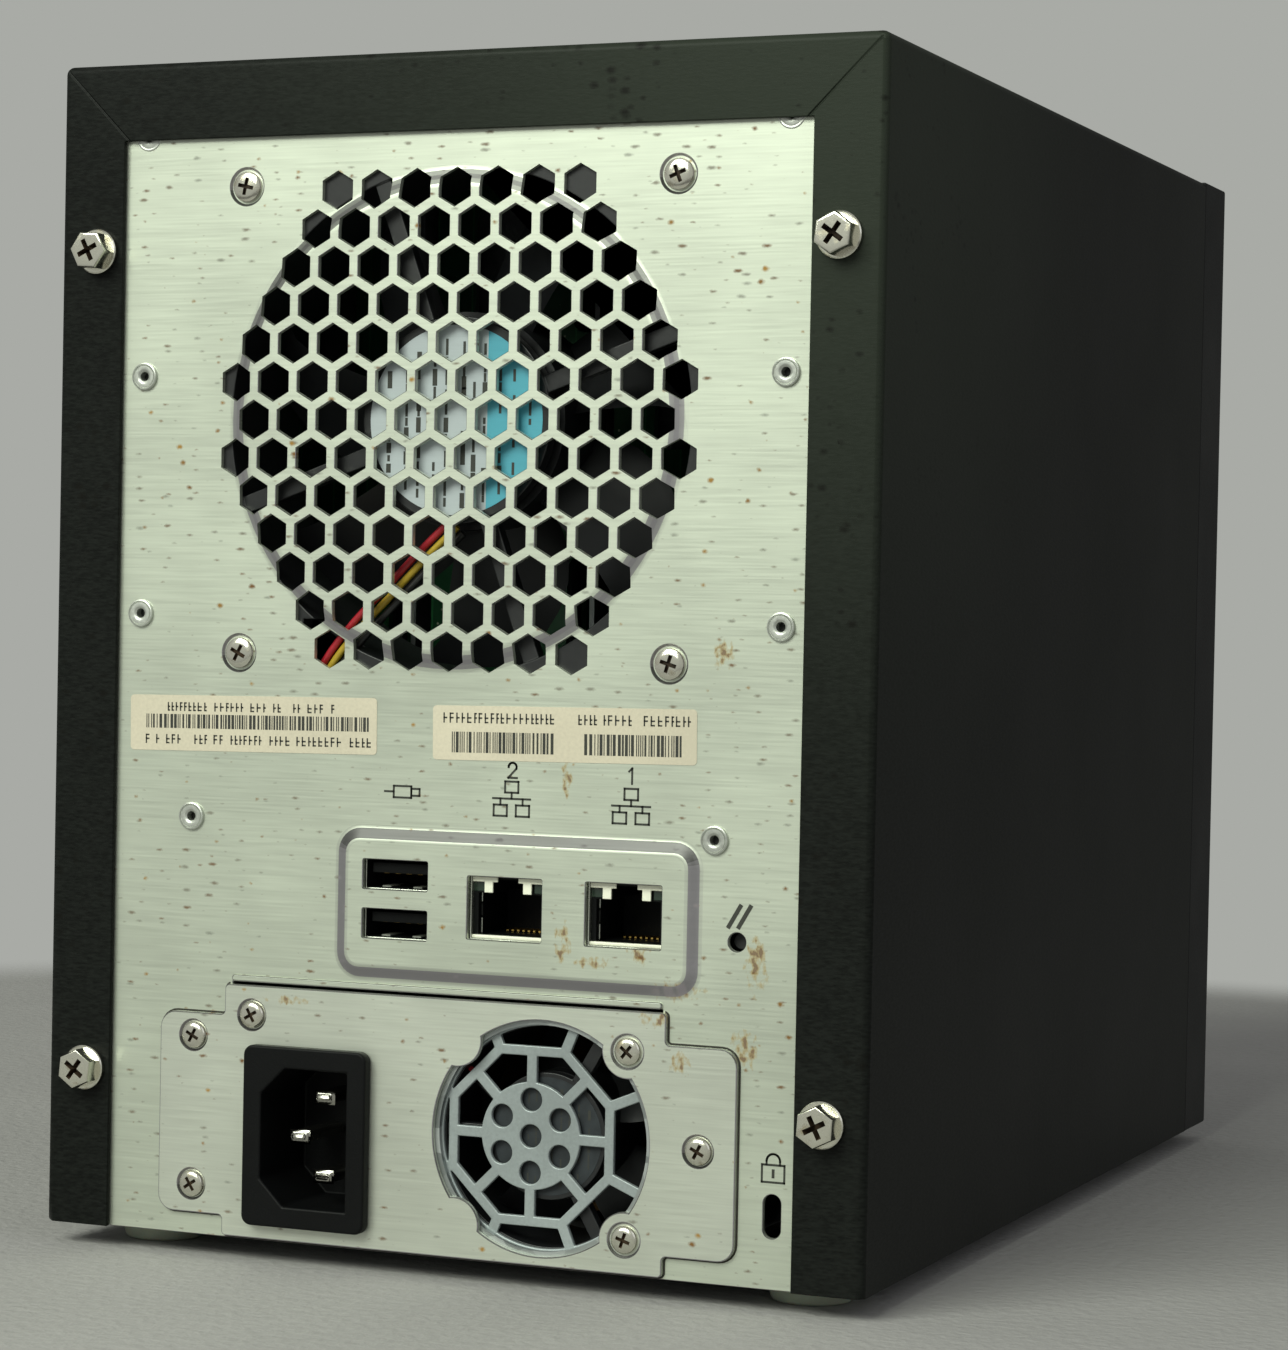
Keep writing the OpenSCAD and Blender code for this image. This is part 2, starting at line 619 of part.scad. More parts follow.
module board_tray() color([0.72, 0.74, 0.72]) difference() {
    union() {
        block([-half_in + 2 * sheet_t, y_board - 6, z_shelf], [half_in - 2 * sheet_t, y_inside - 2 * sheet_t, z_shelf + sheet_t]);
        for (sx = [-1, 1])
            block([sx > 0 ? half_in - 2 * sheet_t : -half_in + sheet_t, y_board - 6, z_shelf - 9],
                  [sx > 0 ? half_in - sheet_t : -half_in + 2 * sheet_t, y_inside - 2 * sheet_t, z_shelf + sheet_t]);
    }
    block([-30, y_board + 30, z_shelf - 1], [30, y_board + 74, z_shelf + 3]);
}

function board_posts() = [for (x = [-1, 1], y = [8, board_l / 2, board_l - 22]) [x * (board_half - 5), y_board + y]];

module main_board() color([0.08, 0.30, 0.16]) difference() {
    block([-board_half, y_board, z_board], [board_half, y_board + board_l, z_board_top]);
    for (p = board_posts()) translate([p[0], p[1], z_board - 1]) cylinder(h = 4, r = small_screw_r + screw_gap);
}

module board_standoffs() color([0.80, 0.72, 0.42]) for (p = board_posts())
    translate([p[0], p[1], z_shelf + sheet_t]) difference() {
        cylinder(h = standoff_h, r = 3, $fn = 6);
        translate([0, 0, -1]) cylinder(h = standoff_h + 2, r = small_screw_r + pivot_gap);
    }

module board_screws() color([0.75, 0.75, 0.75]) for (p = board_posts())
    translate([p[0], p[1], z_board_top]) rotate([90, 0, 0]) cross_screw(2.8, 1.6, small_screw_r, 5);

module processor_heatsink() color([0.70, 0.71, 0.73]) {
    base = [40, 40];
    at = [14, y_board + 48];
    translate([at[0], at[1], z_board_top + 3.4]) {
        translate([-base[0] / 2, -base[1] / 2, 0]) cube([base[0], base[1], 4]);
        for (i = [0 : 9]) translate([-base[0] / 2 + i * (base[0] - 1.2) / 9, -base[1] / 2, 4 - eps]) cube([1.2, base[1], 15]);
    }
}

module board_parts() {
    color([0.10, 0.10, 0.11]) {
        block([0, y_board + 34, z_board_top], [28, y_board + 62, z_board_top + 3.4]);
        block([-52, y_board + 60, z_board_top], [-30, y_board + 82, z_board_top + 2.4]);
        for (i = [0 : 3]) block([-60 + 14 * i, y_board + 14, z_board_top], [-50 + 14 * i, y_board + 26, z_board_top + 1.4]);
        block([-34, y_board + 100, z_board_top], [-18, y_board + 112, z_board_top + 2]);
    }
    color([0.20, 0.22, 0.40]) for (i = [0 : 5])
        translate([46 + 9 * (i % 2), y_board + 20 + 11 * floor(i / 2), z_board_top]) cylinder(h = 10, r = 3.4);
    color([0.85, 0.82, 0.70]) {
        block([-56, y_board + 3, z_board_top], [-30, y_board + 9, z_board_top + 10]);
        block([34, y_board + board_l - 28, z_board_top], [42, y_board + board_l - 22, z_board_top + 8]);
    }
}

module memory_module() color([0.10, 0.34, 0.18]) {
    x0 = -62;
    y0 = y_board + 88;
    block([x0, y0 - 6, z_board_top], [x0 + 4, y0 + 38, z_board_top + 5]);
    block([x0 + 4, y0, z_board_top + 2], [x0 + 30, y0 + 32, z_board_top + 3]);
    for (i = [0 : 1]) block([x0 + 9, y0 + 3 + 14 * i, z_board_top + 3], [x0 + 20, y0 + 14 + 14 * i, z_board_top + 4.2]);
}

// ---- sockets ----

y_jack = y_io - jack_set_back;

module lan_jack() {
    opening = [11.8, 8.2];
    opening_z = 2 + opening[1] / 2;
    color([0.80, 0.80, 0.78]) difference() {
        block([-jack_w / 2, y_jack - jack_d, z_board_top], [jack_w / 2, y_jack, z_board_top + jack_h]);
        along_y(y_jack - 13, y_jack + 1) translate([0, z_board_top + opening_z]) {
            square(opening, center = true);
            translate([0, opening[1] / 2 + 0.9]) square([6.2, 2], center = true);
            translate([0, opening[1] / 2 + 2]) square([3.2, 1.4], center = true);
        }
        for (sx = [-1, 1])
            block([sx * 5.6 - 1.4, y_jack - 2, z_board_top + 10.7], [sx * 5.6 + 1.4, y_jack + 1, z_board_top + 12.3]);
    }
}

module lan_jacks() for (x = jack_x) translate([x, 0, 0]) lan_jack();

// A type A socket with its tongue, with the mouth at y = 0 facing +Y
module usb_socket(length) difference() {
    along_y(-length, 0) square([usb_shell_w, usb_hole[1] + 0.8], center = true);
    along_y(-length + 1.2, 1) difference() {
        square([usb_hole[0], usb_hole[1]], center = true);
        translate([0, 1.05]) square([11.1, 1.9], center = true);
    }
    along_y(-1, 1) square([usb_hole[0], usb_hole[1]], center = true);
}

module usb_ports() color([0.78, 0.78, 0.76]) {
    depth = 14;
    for (k = [0, 1]) translate([usb_x, y_jack, z_board_top + usb_low + k * usb_pitch]) usb_socket(depth);
    block([usb_x - usb_shell_w / 2, y_jack - depth, z_board_top],
          [usb_x + usb_shell_w / 2, y_jack - depth + 5, z_board_top + 0.48]);
    block([usb_x - usb_shell_w / 2, y_jack - depth, z_board_top + usb_low + usb_hole[1] / 2 + 0.41],
          [usb_x + usb_shell_w / 2, y_jack - 1, z_board_top + usb_low + usb_pitch - usb_hole[1] / 2 - 0.41]);
}

module reset_switch() color([0.12, 0.12, 0.12]) difference() {
    block([reset_x - 3, y_inside - 9, z_board_top], [reset_x + 3, y_inside - 4, z_board_top + 6.5]);
    rod_y(reset_x, y_inside - 7, y_inside - 3, reset_z, 1.5 + pivot_gap);
}

module reset_button() color([0.12, 0.12, 0.12])
    rod_y(reset_x, y_inside - 7 + reset_travel + 0.2, y_inside - 1.2, reset_z, 1.5);

// ---- rear fan ----

strut_t = 3;
wire_r = 0.65;
wire_out = [24, -43];      // where the wires leave the fan, from its middle

module fan_square(hole) difference() {
    round_rect([fan_size, fan_size], 5);
    circle(d = hole);
}

module fan_frame() color([0.05, 0.05, 0.055]) {
    flange = 4;
    y0 = y_inside - fan_depth;
    difference() {
        union() {
            for (y = [y0, y_inside - flange]) along_y(y, y + flange) translate([0, fan_z]) fan_square(fan_bore);
            along_y(y0 + flange - eps, y_inside - flange + eps) translate([0, fan_z]) difference() {
                circle(d = fan_size - 0.6);
                circle(d = fan_bore);
            }
        }
        for (sx = [-1, 1], sz = [-1, 1]) rod_y(sx * fan_hole, y0 - 1, y_inside + 1, fan_z + sz * fan_hole, 2.15);
        translate([wire_out[0], 0, fan_z + wire_out[1]]) block([-5, y_inside - 5, -8], [5, y_inside + 1, 8]);
    }
    // motor base with its bearing tube, on four struts
    difference() {
        union() {
            rod_y(0, y_inside - strut_t, y_inside - 0.2, fan_z, hub_d / 2 - 1);
            rod_y(0, y_inside - 16, y_inside - strut_t + eps, fan_z, 4);
            for (a = [20, 110, 200, 290]) translate([0, 0, fan_z]) rotate([0, a, 0])
                block([10, y_inside - strut_t, -1.6], [fan_bore / 2 + 0.6, y_inside - 0.4, 1.6]);
        }
        rod_y(0, y_inside - 17, y_inside - 1.2, fan_z, 1.5 + pivot_gap);
    }
}

// One blade, set on the hub at the angle of attack and cut to the duct
module blade(r_hub, r_tip, width, lean, y_mid) intersection() {
    translate([r_hub - 1, y_mid, 0]) rotate([lean, 0, 0])
        translate([0, -width / 2, -0.7]) cube([r_tip - r_hub + 2, width, 1.4]);
    rod_y(0, y_mid - width, y_mid + width, 0, r_tip);
}

module fan_rotor() color([0.07, 0.07, 0.075]) {
    y0 = y_inside - fan_depth + 2;
    y1 = y_inside - strut_t - 1;
    translate([0, 0, fan_z]) {
        difference() {
            rod_y(0, y0, y1, 0, hub_d / 2);
            rod_y(0, y0 + 2, y1 + 1, 0, hub_d / 2 - 1.8);
        }
        rod_y(0, y0 + 2 - eps, y_inside - 1.8, 0, 1.5);
        for (i = [0 : fan_blades - 1]) rotate([0, 360 * i / fan_blades, 0])
            difference() {
                blade(hub_d / 2, fan_bore / 2 - 1, 21, 52, (y0 + y1) / 2);
                rod_y(0, y0 - 5, y1 + 5, 0, hub_d / 2 - 1);
            }
    }
}

module fan_screws() color([0.80, 0.78, 0.72]) for (sx = [-1, 1], sz = [-1, 1])
    translate([sx * fan_hole, y_panel - dimple_depth, fan_z + sz * fan_hole]) cross_screw(fan_head_r, 1.1, 2, 9);

// Wires from the motor base, across the duct and through the notch, down to the board's header
wire_pitch = 1.7;
header = [38, y_board + board_l - 25, z_board_top + 8.1];

function wire_route(d) = [
    [-0.7 * d, y_inside - 1.6, fan_z - hub_d / 2 + 0.6 - 0.7 * d],
    [6 - 0.7 * d, y_inside - 1.6, fan_z - 24 - 0.7 * d],
    [13 - 0.7 * d, y_inside - 1.6, fan_z - 31 - 0.7 * d],
    [19 - 0.8 * d, y_inside - 1.6, fan_z - 37 - 0.6 * d],
    [wire_out[0] - 0.9 * d, y_inside - 1.6, fan_z + wire_out[1] - 0.3 * d],
    [26.5 - d, y_inside - 2.2, fan_z - 47],
    [28.5 - d, y_inside - 5, fan_z - 52],
    [31 - d, y_inside - 10, fan_z - 58],
    [34 - d, y_inside - 16, header[2] + 14],
    [37 - d, header[1] + 2, header[2] + 8],
    header + [-d, 0, 4],
    header + [-d, 0, 0]];

module fan_wires() {
    colours = [[0.75, 0.10, 0.12], [0.75, 0.62, 0.08], [0.05, 0.05, 0.05]];
    for (i = [0 : 2]) color(colours[i]) wire(wire_route((i - 1) * wire_pitch), wire_r);
}

// ---- power supply ----

ear_screw_x = plate_w / 2 + 6.25;

function plate_screws() = [
    [ear_screw_x, tab_z + tab_h - 4.1],
    [ear_screw_x, tab_z + 5.1],
    [-ear_screw_x, tab_z + tab_h / 2 + 0.4]];

function supply_screws() = concat(plate_screws(), [
    [plate_w / 2 - 5.45, plate_z + plate_h - 5.2],
    [psu_fan_x - psu_fan_hole, psu_fan_z + psu_fan_hole],
    [psu_fan_x - psu_fan_hole, psu_fan_z - psu_fan_hole]]);

module fan_opening() difference() {
    circle(d = psu_fan_size + 0.6);
    for (sx = [-1, 1], sz = [-1, 1]) translate([sx * psu_fan_hole, sz * psu_fan_hole]) circle(4.7);
}

module psu_plate() color([0.82, 0.85, 0.80]) difference() {
    along_y(y_panel, y_plate) difference() {
        union() {
            translate([0, plate_z + plate_h / 2]) round_rect([plate_w, plate_h], 1);
            translate([0, tab_z + tab_h / 2]) round_rect([plate_w + 2 * tab_w, tab_h], 3);
        }
        translate([psu_fan_x, psu_fan_z]) fan_opening();
        translate([inlet_x, inlet_z]) square([inlet_body[0] + 0.4, inlet_body[1] + 0.4], center = true);
    }
    for (p = supply_screws()) {
        rod_y(p[0], y_panel - 1, y_plate + 1, p[1], small_screw_r + screw_gap);
        rod_y(p[0], y_plate - dimple_depth, y_plate + 1, p[1], plate_dimple_r);
    }
}

module psu_screws() color([0.80, 0.78, 0.72]) for (p = supply_screws())
    translate([p[0], y_plate - dimple_depth, p[1]]) cross_screw(plate_head_r, 1.1, small_screw_r, 5);

// Open-topped case; its rear wall sits in the rear panel's cut-out, against the plate
module psu_case() color([0.70, 0.72, 0.72]) difference() {
    block([-psu_w / 2, y_panel - psu_l, psu_z], [psu_w / 2, y_panel, psu_z + psu_h - sheet_t]);
    block([-psu_w / 2 + sheet_t, y_panel - psu_l + sheet_t, psu_z + sheet_t],
          [psu_w / 2 - sheet_t, y_panel - sheet_t, psu_z + psu_h + 1]);
    along_y(y_panel - sheet_t - 1, y_panel + 1) translate([psu_fan_x, psu_fan_z]) circle(d = psu_fan_size - 1);
    along_y(y_panel - sheet_t - 1, y_panel + 1) translate([inlet_x, inlet_z])
        square([inlet_body[0] + 0.4, inlet_body[1] + 0.4], center = true);
    for (p = supply_screws()) rod_y(p[0], y_panel - sheet_t - 1, y_panel + 1, p[1], small_screw_r + screw_gap);
    for (i = [-4 : 4]) along_y(y_panel - psu_l - 1, y_panel - psu_l + sheet_t + 1)
        translate([i * 7, psu_z + 20]) round_rect([3, 22], 1.4);
}

module psu_lid() color([0.74, 0.76, 0.76]) difference() {
    block([-psu_w / 2, y_panel - psu_l, psu_z + psu_h - sheet_t],
          [psu_w / 2, y_inside - 0.4, psu_z + psu_h]);
    for (i = [-3 : 3]) translate([i * 9, y_panel - psu_l + 26, psu_z + psu_h - 3]) linear_extrude(6) round_rect([3, 24], 1.4);
}

// Pressed guard behind the supply's fan opening: a drilled disc, an octagon round it and spokes
module psu_fan_guard() color([0.75, 0.77, 0.78]) {
    bar = 1.9;
    ring_r = 14.7;
    vertex_r = ring_r / cos(22.5);
    disc_r = 9.3;
    y1 = y_panel - sheet_t;
    shift = guard_x - psu_fan_x;
    along_y(y1 - guard_t, y1) translate([psu_fan_x, psu_fan_z]) {
        translate([shift, 0]) {
            difference() {
                circle(disc_r);
                circle(2);
                for (i = [0 : 5]) rotate(30 + 60 * i) translate([6.3, 0]) circle(2);
            }
            difference() {
                rotate(22.5) circle(vertex_r + bar / 2, $fn = 8);
                rotate(22.5) circle(vertex_r - bar / 2, $fn = 8);
            }
            for (i = [0 : 7]) rotate(45 * i) translate([disc_r - 0.6, -bar / 2]) square([ring_r - disc_r + 0.8, bar]);
        }
        intersection() {
            square(psu_fan_size - 1, center = true);
            translate([shift, 0]) for (i = [0 : 7]) rotate(45 * i + 22.5) translate([vertex_r, -bar / 2]) square([9, bar]);
        }
        difference() {
            square(psu_fan_size, center = true);
            circle(d = psu_fan_size - 1.6);
            for (sx = [-1, 1], sz = [-1, 1])
                translate([sx * psu_fan_hole, sz * psu_fan_hole]) circle(small_screw_r + screw_gap);
        }
    }
}

module psu_fan_frame() color([0.06, 0.06, 0.065]) {
    y1 = y_panel - sheet_t - guard_t;
    y0 = y1 - psu_fan_d;
    difference() {
        along_y(y0, y1) translate([psu_fan_x, psu_fan_z]) difference() {
            round_rect([psu_fan_size, psu_fan_size], 3);
            circle(d = psu_fan_bore);
        }
        for (sx = [-1, 1], sz = [-1, 1])
            rod_y(psu_fan_x + sx * psu_fan_hole, y0 - 1, y1 + 1, psu_fan_z + sz * psu_fan_hole, small_screw_r + screw_gap);
    }
    difference() {
        union() {
            rod_y(psu_fan_x, y1 - 2.4, y1 - 0.4, psu_fan_z, 11);
            rod_y(psu_fan_x, y1 - 12, y1 - 2.3, psu_fan_z, 3);
            for (a = [0, 120, 240]) translate([psu_fan_x, 0, psu_fan_z]) rotate([0, a, 0])
                block([6, y1 - 2.4, -1.2], [psu_fan_bore / 2 + 0.4, y1 - 0.4, 1.2]);
        }
        rod_y(psu_fan_x, y1 - 13, y1 - 1, psu_fan_z, 1 + pivot_gap);
    }
}

module psu_fan_rotor() color([0.07, 0.07, 0.075]) {
    y1 = y_panel - sheet_t - guard_t - 3.2;
    y0 = y1 - psu_fan_d + 5;
    translate([psu_fan_x, 0, psu_fan_z]) {
        difference() {
            rod_y(0, y0, y1, 0, 11);
            rod_y(0, y0 + 1.5, y1 + 1, 0, 9.6);
        }
        rod_y(0, y0 + 1.5 - eps, y1 + 1.4, 0, 1);
        for (i = [0 : 4]) rotate([0, 72 * i, 0]) difference() {
            blade(11, psu_fan_bore / 2 - 0.7, 14, 50, (y0 + y1) / 2);
            rod_y(0, y0 - 5, y1 + 5, 0, 10.3);
        }
    }
}

module psu_electronics() {
    y0 = y_panel - psu_l + 6;
    z0 = psu_z + sheet_t + 3;
    color([0.55, 0.42, 0.22]) block([-psu_w / 2 + 3, y0, z0], [psu_w / 2 - 3, y_panel - 30, z0 + pcb_t]);
    for (sx = [-1, 1], y = [y0 + 6, y_panel - 36])
        translate([sx * (psu_w / 2 - 8), y, psu_z + sheet_t]) cylinder(h = z0 - psu_z - sheet_t + eps, r = 3);
    color([0.80, 0.72, 0.30]) block([-16, y0 + 36, z0 + pcb_t], [12, y0 + 66, z0 + 26]);
    color([0.10, 0.12, 0.28]) for (x = [22, -27]) translate([x, y0 + 92, z0 + pcb_t]) cylinder(h = 27, r = 9);
    color([0.60, 0.62, 0.64]) for (x = [-32, 26]) block([x, y0 + 8, z0 + pcb_t], [x + 3, y0 + 74, z0 + 27]);
    color([0.70, 0.35, 0.12]) translate([0, y0 + 16, z0 + pcb_t]) difference() {
        cylinder(h = 11, r = 9);
        translate([0, 0, -1]) cylinder(h = 13, r = 4);
    }
}

module inlet_shape(size, chamfer) {
    w = size[0] / 2;
    h = size[1] / 2;
    polygon([[-w, -h], [w - chamfer, -h], [w, -h + chamfer], [w, h - chamfer], [w - chamfer, h], [-w, h]]);
}

y_inlet = y_plate + inlet_flange_t;

module inlet_housing() color([0.06, 0.06, 0.065]) difference() {
    union() {
        along_y(y_plate, y_inlet) translate([inlet_x, inlet_z]) round_rect(inlet_flange, 1.8);
        along_y(y_inlet - inlet_depth, y_plate + eps) translate([inlet_x, inlet_z]) square(inlet_body, center = true);
    }
    along_y(y_inlet - cavity_depth, y_inlet + 1) translate([inlet_x, inlet_z]) inlet_shape(inlet_cavity, 4.6);
}

module inlet_pins() color([0.80, 0.80, 0.78]) {
    back = y_inlet - cavity_depth;
    at = [[-2, pin_pitch / 2, 13], [-2, -pin_pitch / 2, 13], [-2 + earth_step, 0, 14.5]];
    for (p = at) translate([inlet_x + p[0], back, inlet_z + p[1]]) {
        block([-2, 0, -1], [2, p[2] - 1, 1]);
        block([-1.4, p[2] - 1 - eps, -0.6], [1.4, p[2], 0.6]);
    }
}

// ---- front controls ----

module front_board() color([0.08, 0.30, 0.16]) {
    block([-66, y_front_board - pcb_t, z_low + 24], [-20, y_front_board, z_low + 66]);
    block([40, y_front_board - pcb_t, button_z - 10], [64, y_front_board, button_z + 10]);
    color([0.10, 0.10, 0.11])
        block([button_x - 3, y_front_board - pcb_t - 3, button_z - 3], [button_x + 3, y_front_board - pcb_t, button_z + 3]);
    for (x = [-62, -24], z = [z_low + 28, z_low + 62])
        rod_y(x, y_front_board, y_bezel, z, 2.5);
    for (z = [button_z - 8, button_z + 8]) rod_y(button_x + 9, y_front_board, y_bezel, z, 1.8);
}

module front_usb_port() color([0.78, 0.78, 0.76])
    translate([front_usb_x, y_front + bezel_t + 0.2, front_usb_z]) rotate([0, 0, 180])
        usb_socket(y_front_board - pcb_t - y_front - bezel_t - 0.2);

module light_pipes() color([0.75, 0.85, 0.90]) for (x = led_x)
    rod_y(x, y_front + 0.2, y_front_board - pcb_t, led_z, led_r);

y_cap = y_front + 0.4;
collar_t = 1.4;
y_collar = y_front + bezel_t + 0.1;                  // the collar stops behind the bezel's wall
stem_r = 2;
spring_r = 4.9;
spring_wire_r = 0.35;

module power_button() color([0.30, 0.31, 0.33]) {
    rod_y(button_x, y_cap, y_collar + eps, button_z, button_r);
    rod_y(button_x, y_collar, y_collar + collar_t, button_z, button_r + 1.2);
    rod_y(button_x, y_collar + collar_t - eps, y_front_board - pcb_t - 3 - button_travel - 0.1, button_z, stem_r);
}

// Compression spring between the button's collar and the front board
module power_button_spring() color([0.75, 0.75, 0.76]) {
    turns = 5;
    steps = 14;
    y0 = y_collar + collar_t + spring_wire_r;
    y1 = y_front_board - pcb_t - spring_wire_r;
    wire([for (i = [0 : turns * steps])
        [button_x + spring_r * cos(360 * i / steps), y0 + (y1 - y0) * i / (turns * steps),
         button_z + spring_r * sin(360 * i / steps)]], spring_wire_r);
}

// ---- nodes ----

top_cover();
cover_screws();
base_pan();
side_plate_left();
side_plate_right();
rear_panel();
rear_rivets();
feet();
front_frame();
front_bezel();
drive_cage();
cage_guides();
backplane();
backplane_connectors();
board_tray();
main_board();
board_standoffs();
board_screws();
board_parts();
processor_heatsink();
memory_module();
lan_jacks();
usb_ports();
reset_switch();
reset_button();
fan_frame();
fan_rotor();
fan_screws();
fan_wires();
psu_case();
psu_lid();
psu_plate();
psu_screws();
psu_fan_frame();
psu_fan_rotor();
psu_fan_guard();
psu_electronics();
inlet_housing();
inlet_pins();
front_board();
front_usb_port();
light_pipes();
power_button();
power_button_spring();
for (i = [1 : bay_count]) translate([bay_x[i - 1], 0, 0]) {
    tray_frame();
    tray_lever();
    tray_screws();
    drive();
}
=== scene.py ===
"""Looks of a four-bay network storage box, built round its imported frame.

The box is folded sheet steel: a black powder coated cover slides over a plated chassis. Its rear
shows the panel with its fan grille, the sockets and the power supply's plate. Its front shows a
moulded bezel with four drive trays.
"""

import math
import random

import bmesh
import bpy
from bpy.props import FloatProperty, FloatVectorProperty, IntProperty, PointerProperty
from mathutils import Matrix, Vector


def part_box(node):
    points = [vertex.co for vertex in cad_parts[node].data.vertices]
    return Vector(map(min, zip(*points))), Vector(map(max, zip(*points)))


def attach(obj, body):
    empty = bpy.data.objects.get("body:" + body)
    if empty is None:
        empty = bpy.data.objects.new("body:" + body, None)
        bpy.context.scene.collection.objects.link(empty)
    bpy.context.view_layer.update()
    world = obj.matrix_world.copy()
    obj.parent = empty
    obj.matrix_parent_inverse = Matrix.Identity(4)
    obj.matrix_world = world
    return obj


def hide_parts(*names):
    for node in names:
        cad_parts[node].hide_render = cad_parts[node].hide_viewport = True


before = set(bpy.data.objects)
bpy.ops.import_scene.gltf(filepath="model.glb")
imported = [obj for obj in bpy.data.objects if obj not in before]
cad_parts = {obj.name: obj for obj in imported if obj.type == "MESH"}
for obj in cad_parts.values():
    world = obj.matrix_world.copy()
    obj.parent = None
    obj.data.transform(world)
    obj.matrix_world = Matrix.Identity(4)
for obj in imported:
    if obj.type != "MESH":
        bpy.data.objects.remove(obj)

bl_info = {
    "name": "Storage box looks",
    "version": (1, 0, 0),
    "blender": (4, 5, 0),
    "location": "View3D > Sidebar > Storage box",
    "description": "Builds the visible pieces and finishes of a four-bay network storage box",
    "category": "Object",
}

MM = 0.001
FULL_TURN = 2 * math.pi
FACING_REAR = Matrix.Rotation(-math.pi / 2, 4, "X")     # turns a shape's +Z to the box's +Y
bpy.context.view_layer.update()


# ---- places taken from the frame ----

def middle(node):
    """The middle of a CAD node's box."""
    low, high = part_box(node)
    return (low + high) / 2


def merged(mesh):
    """A bmesh of a CAD mesh with its loose triangles joined up."""
    bm = bmesh.new()
    bm.from_mesh(mesh)
    bmesh.ops.remove_doubles(bm, verts=bm.verts, dist=0.002 * MM)
    return bm


def islands(bm):
    """The vertices of each separate shell of a bmesh, as lists."""
    left = set(bm.verts)
    found = []
    while left:
        shell = []
        edge_of_shell = [left.pop()]
        while edge_of_shell:
            vert = edge_of_shell.pop()
            shell.append(vert)
            for edge in vert.link_edges:
                other = edge.other_vert(vert)
                if other in left:
                    left.remove(other)
                    edge_of_shell.append(other)
        found.append(shell)
    return found


def corners(verts):
    """Lowest and highest corner of some vertices."""
    low = Vector([min(v.co[k] for v in verts) for k in range(3)])
    high = Vector([max(v.co[k] for v in verts) for k in range(3)])
    return low, high


def solids(node):
    """Lowest and highest corner of each separate solid of a CAD node."""
    bm = merged(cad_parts[node].data)
    found = [corners(shell) for shell in islands(bm)]
    bm.free()
    return sorted(found, key=lambda box: tuple(round(c, 5) for c in box[0]))


def middles(node):
    """X and Z of the middle of each separate solid of a CAD node, in metres."""
    return [((low.x + high.x) / 2, (low.z + high.z) / 2) for low, high in solids(node)]


COVER_LOW, COVER_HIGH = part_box("top_cover")
PANEL_LOW, PANEL_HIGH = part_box("rear_panel")
PLATE_LOW, PLATE_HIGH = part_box("psu_plate")
FACE_Y = PLATE_LOW.y                    # outer face of the rear panel
INSIDE_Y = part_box("fan_frame")[1].y     # inner face of the rear panel
SHEET = FACE_Y - INSIDE_Y
RAISED_Y = PANEL_HIGH.y                 # face of the pressed-out dish and socket field
BOARD_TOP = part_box("lan_jacks")[0].z
FAN = middle("fan_frame")
SUPPLY_FAN = middle("psu_fan_frame")
INLET = middle("inlet_housing")


# ---- settings ----

def linear(code):
    """A linear colour from an sRGB hex code."""
    parts = [int(code[i : i + 2], 16) / 255 for i in (1, 3, 5)]
    return (*[p / 12.92 if p <= 0.04045 else ((p + 0.055) / 1.055) ** 2.4 for p in parts], 1.0)


def length(name, description, value, most=0.5):
    """A length property, given in millimetres and kept in metres."""
    return FloatProperty(
        name=name, description=description, default=value * MM, min=0.0, max=most, unit="LENGTH"
    )


def angle(name, description, value):
    """An angle property, given in degrees and kept in radians."""
    return FloatProperty(name=name, description=description, default=math.radians(value), subtype="ANGLE")


def colour(name, description, code):
    """A colour property, given as an sRGB hex code and kept linear."""
    return FloatVectorProperty(
        name=name, description=description, default=linear(code), size=4, min=0.0, max=1.0, subtype="COLOR"
    )


class CaseSettings(bpy.types.PropertyGroup):
    """Sizes and colours of the cover and the rear panel."""

    fold_radius: length("Fold radius", "Outer radius of the cover's folds", 1.5)
    cut_edge: length("Cut edge", "Rounding of a sheet's cut edges", 0.12)
    mitre_gap: length("Mitre gap", "Width of the seam where the cover's rear flanges meet", 0.35)
    flange: length("Flange", "Width of the cover's rear flange", 12.8)
    dish_slope: length("Dish slope", "Width of the pressed step round the fan grille", 4.0)
    field_slope: length("Field slope", "Width of the pressed step round the sockets", 3.0)
    hex_pitch: length("Hexagon pitch", "Distance between the middles of neighbouring grille holes", 7.73)
    hex_flat: length("Hexagon width", "Width of a grille hole across its flats", 6.0)
    cover_colour: colour("Cover colour", "Powder coat on the cover", "#171917")
    panel_colour: colour("Panel colour", "Plated sheet of the rear panel", "#ccd2c3")
    rust_colour: colour("Rust colour", "Rust specks on the plated sheet", "#6e4a22")


class FanSettings(bpy.types.PropertyGroup):
    """Sizes and colours of the two fans."""

    blades: IntProperty(name="Blades", description="Number of blades on the rear fan", default=7, min=3, max=13)
    supply_blades: IntProperty(
        name="Supply blades", description="Number of blades on the supply's fan", default=5, min=3, max=13
    )
    hub_radius: length("Hub radius", "Radius of the rear fan's hub", 19)
    supply_hub_radius: length("Supply hub radius", "Radius of the supply fan's hub", 11)
    wire_radius: length("Wire radius", "Radius of one wire of the fan's lead", 0.65)
    plastic_colour: colour("Fan plastic", "Moulded plastic of the frames and rotors", "#17181a")
    label_colour: colour("Label foil", "Silver part of the hub label", "#aeb6ba")
    accent_colour: colour("Label accent", "Coloured part of the hub label", "#4d9fb2")


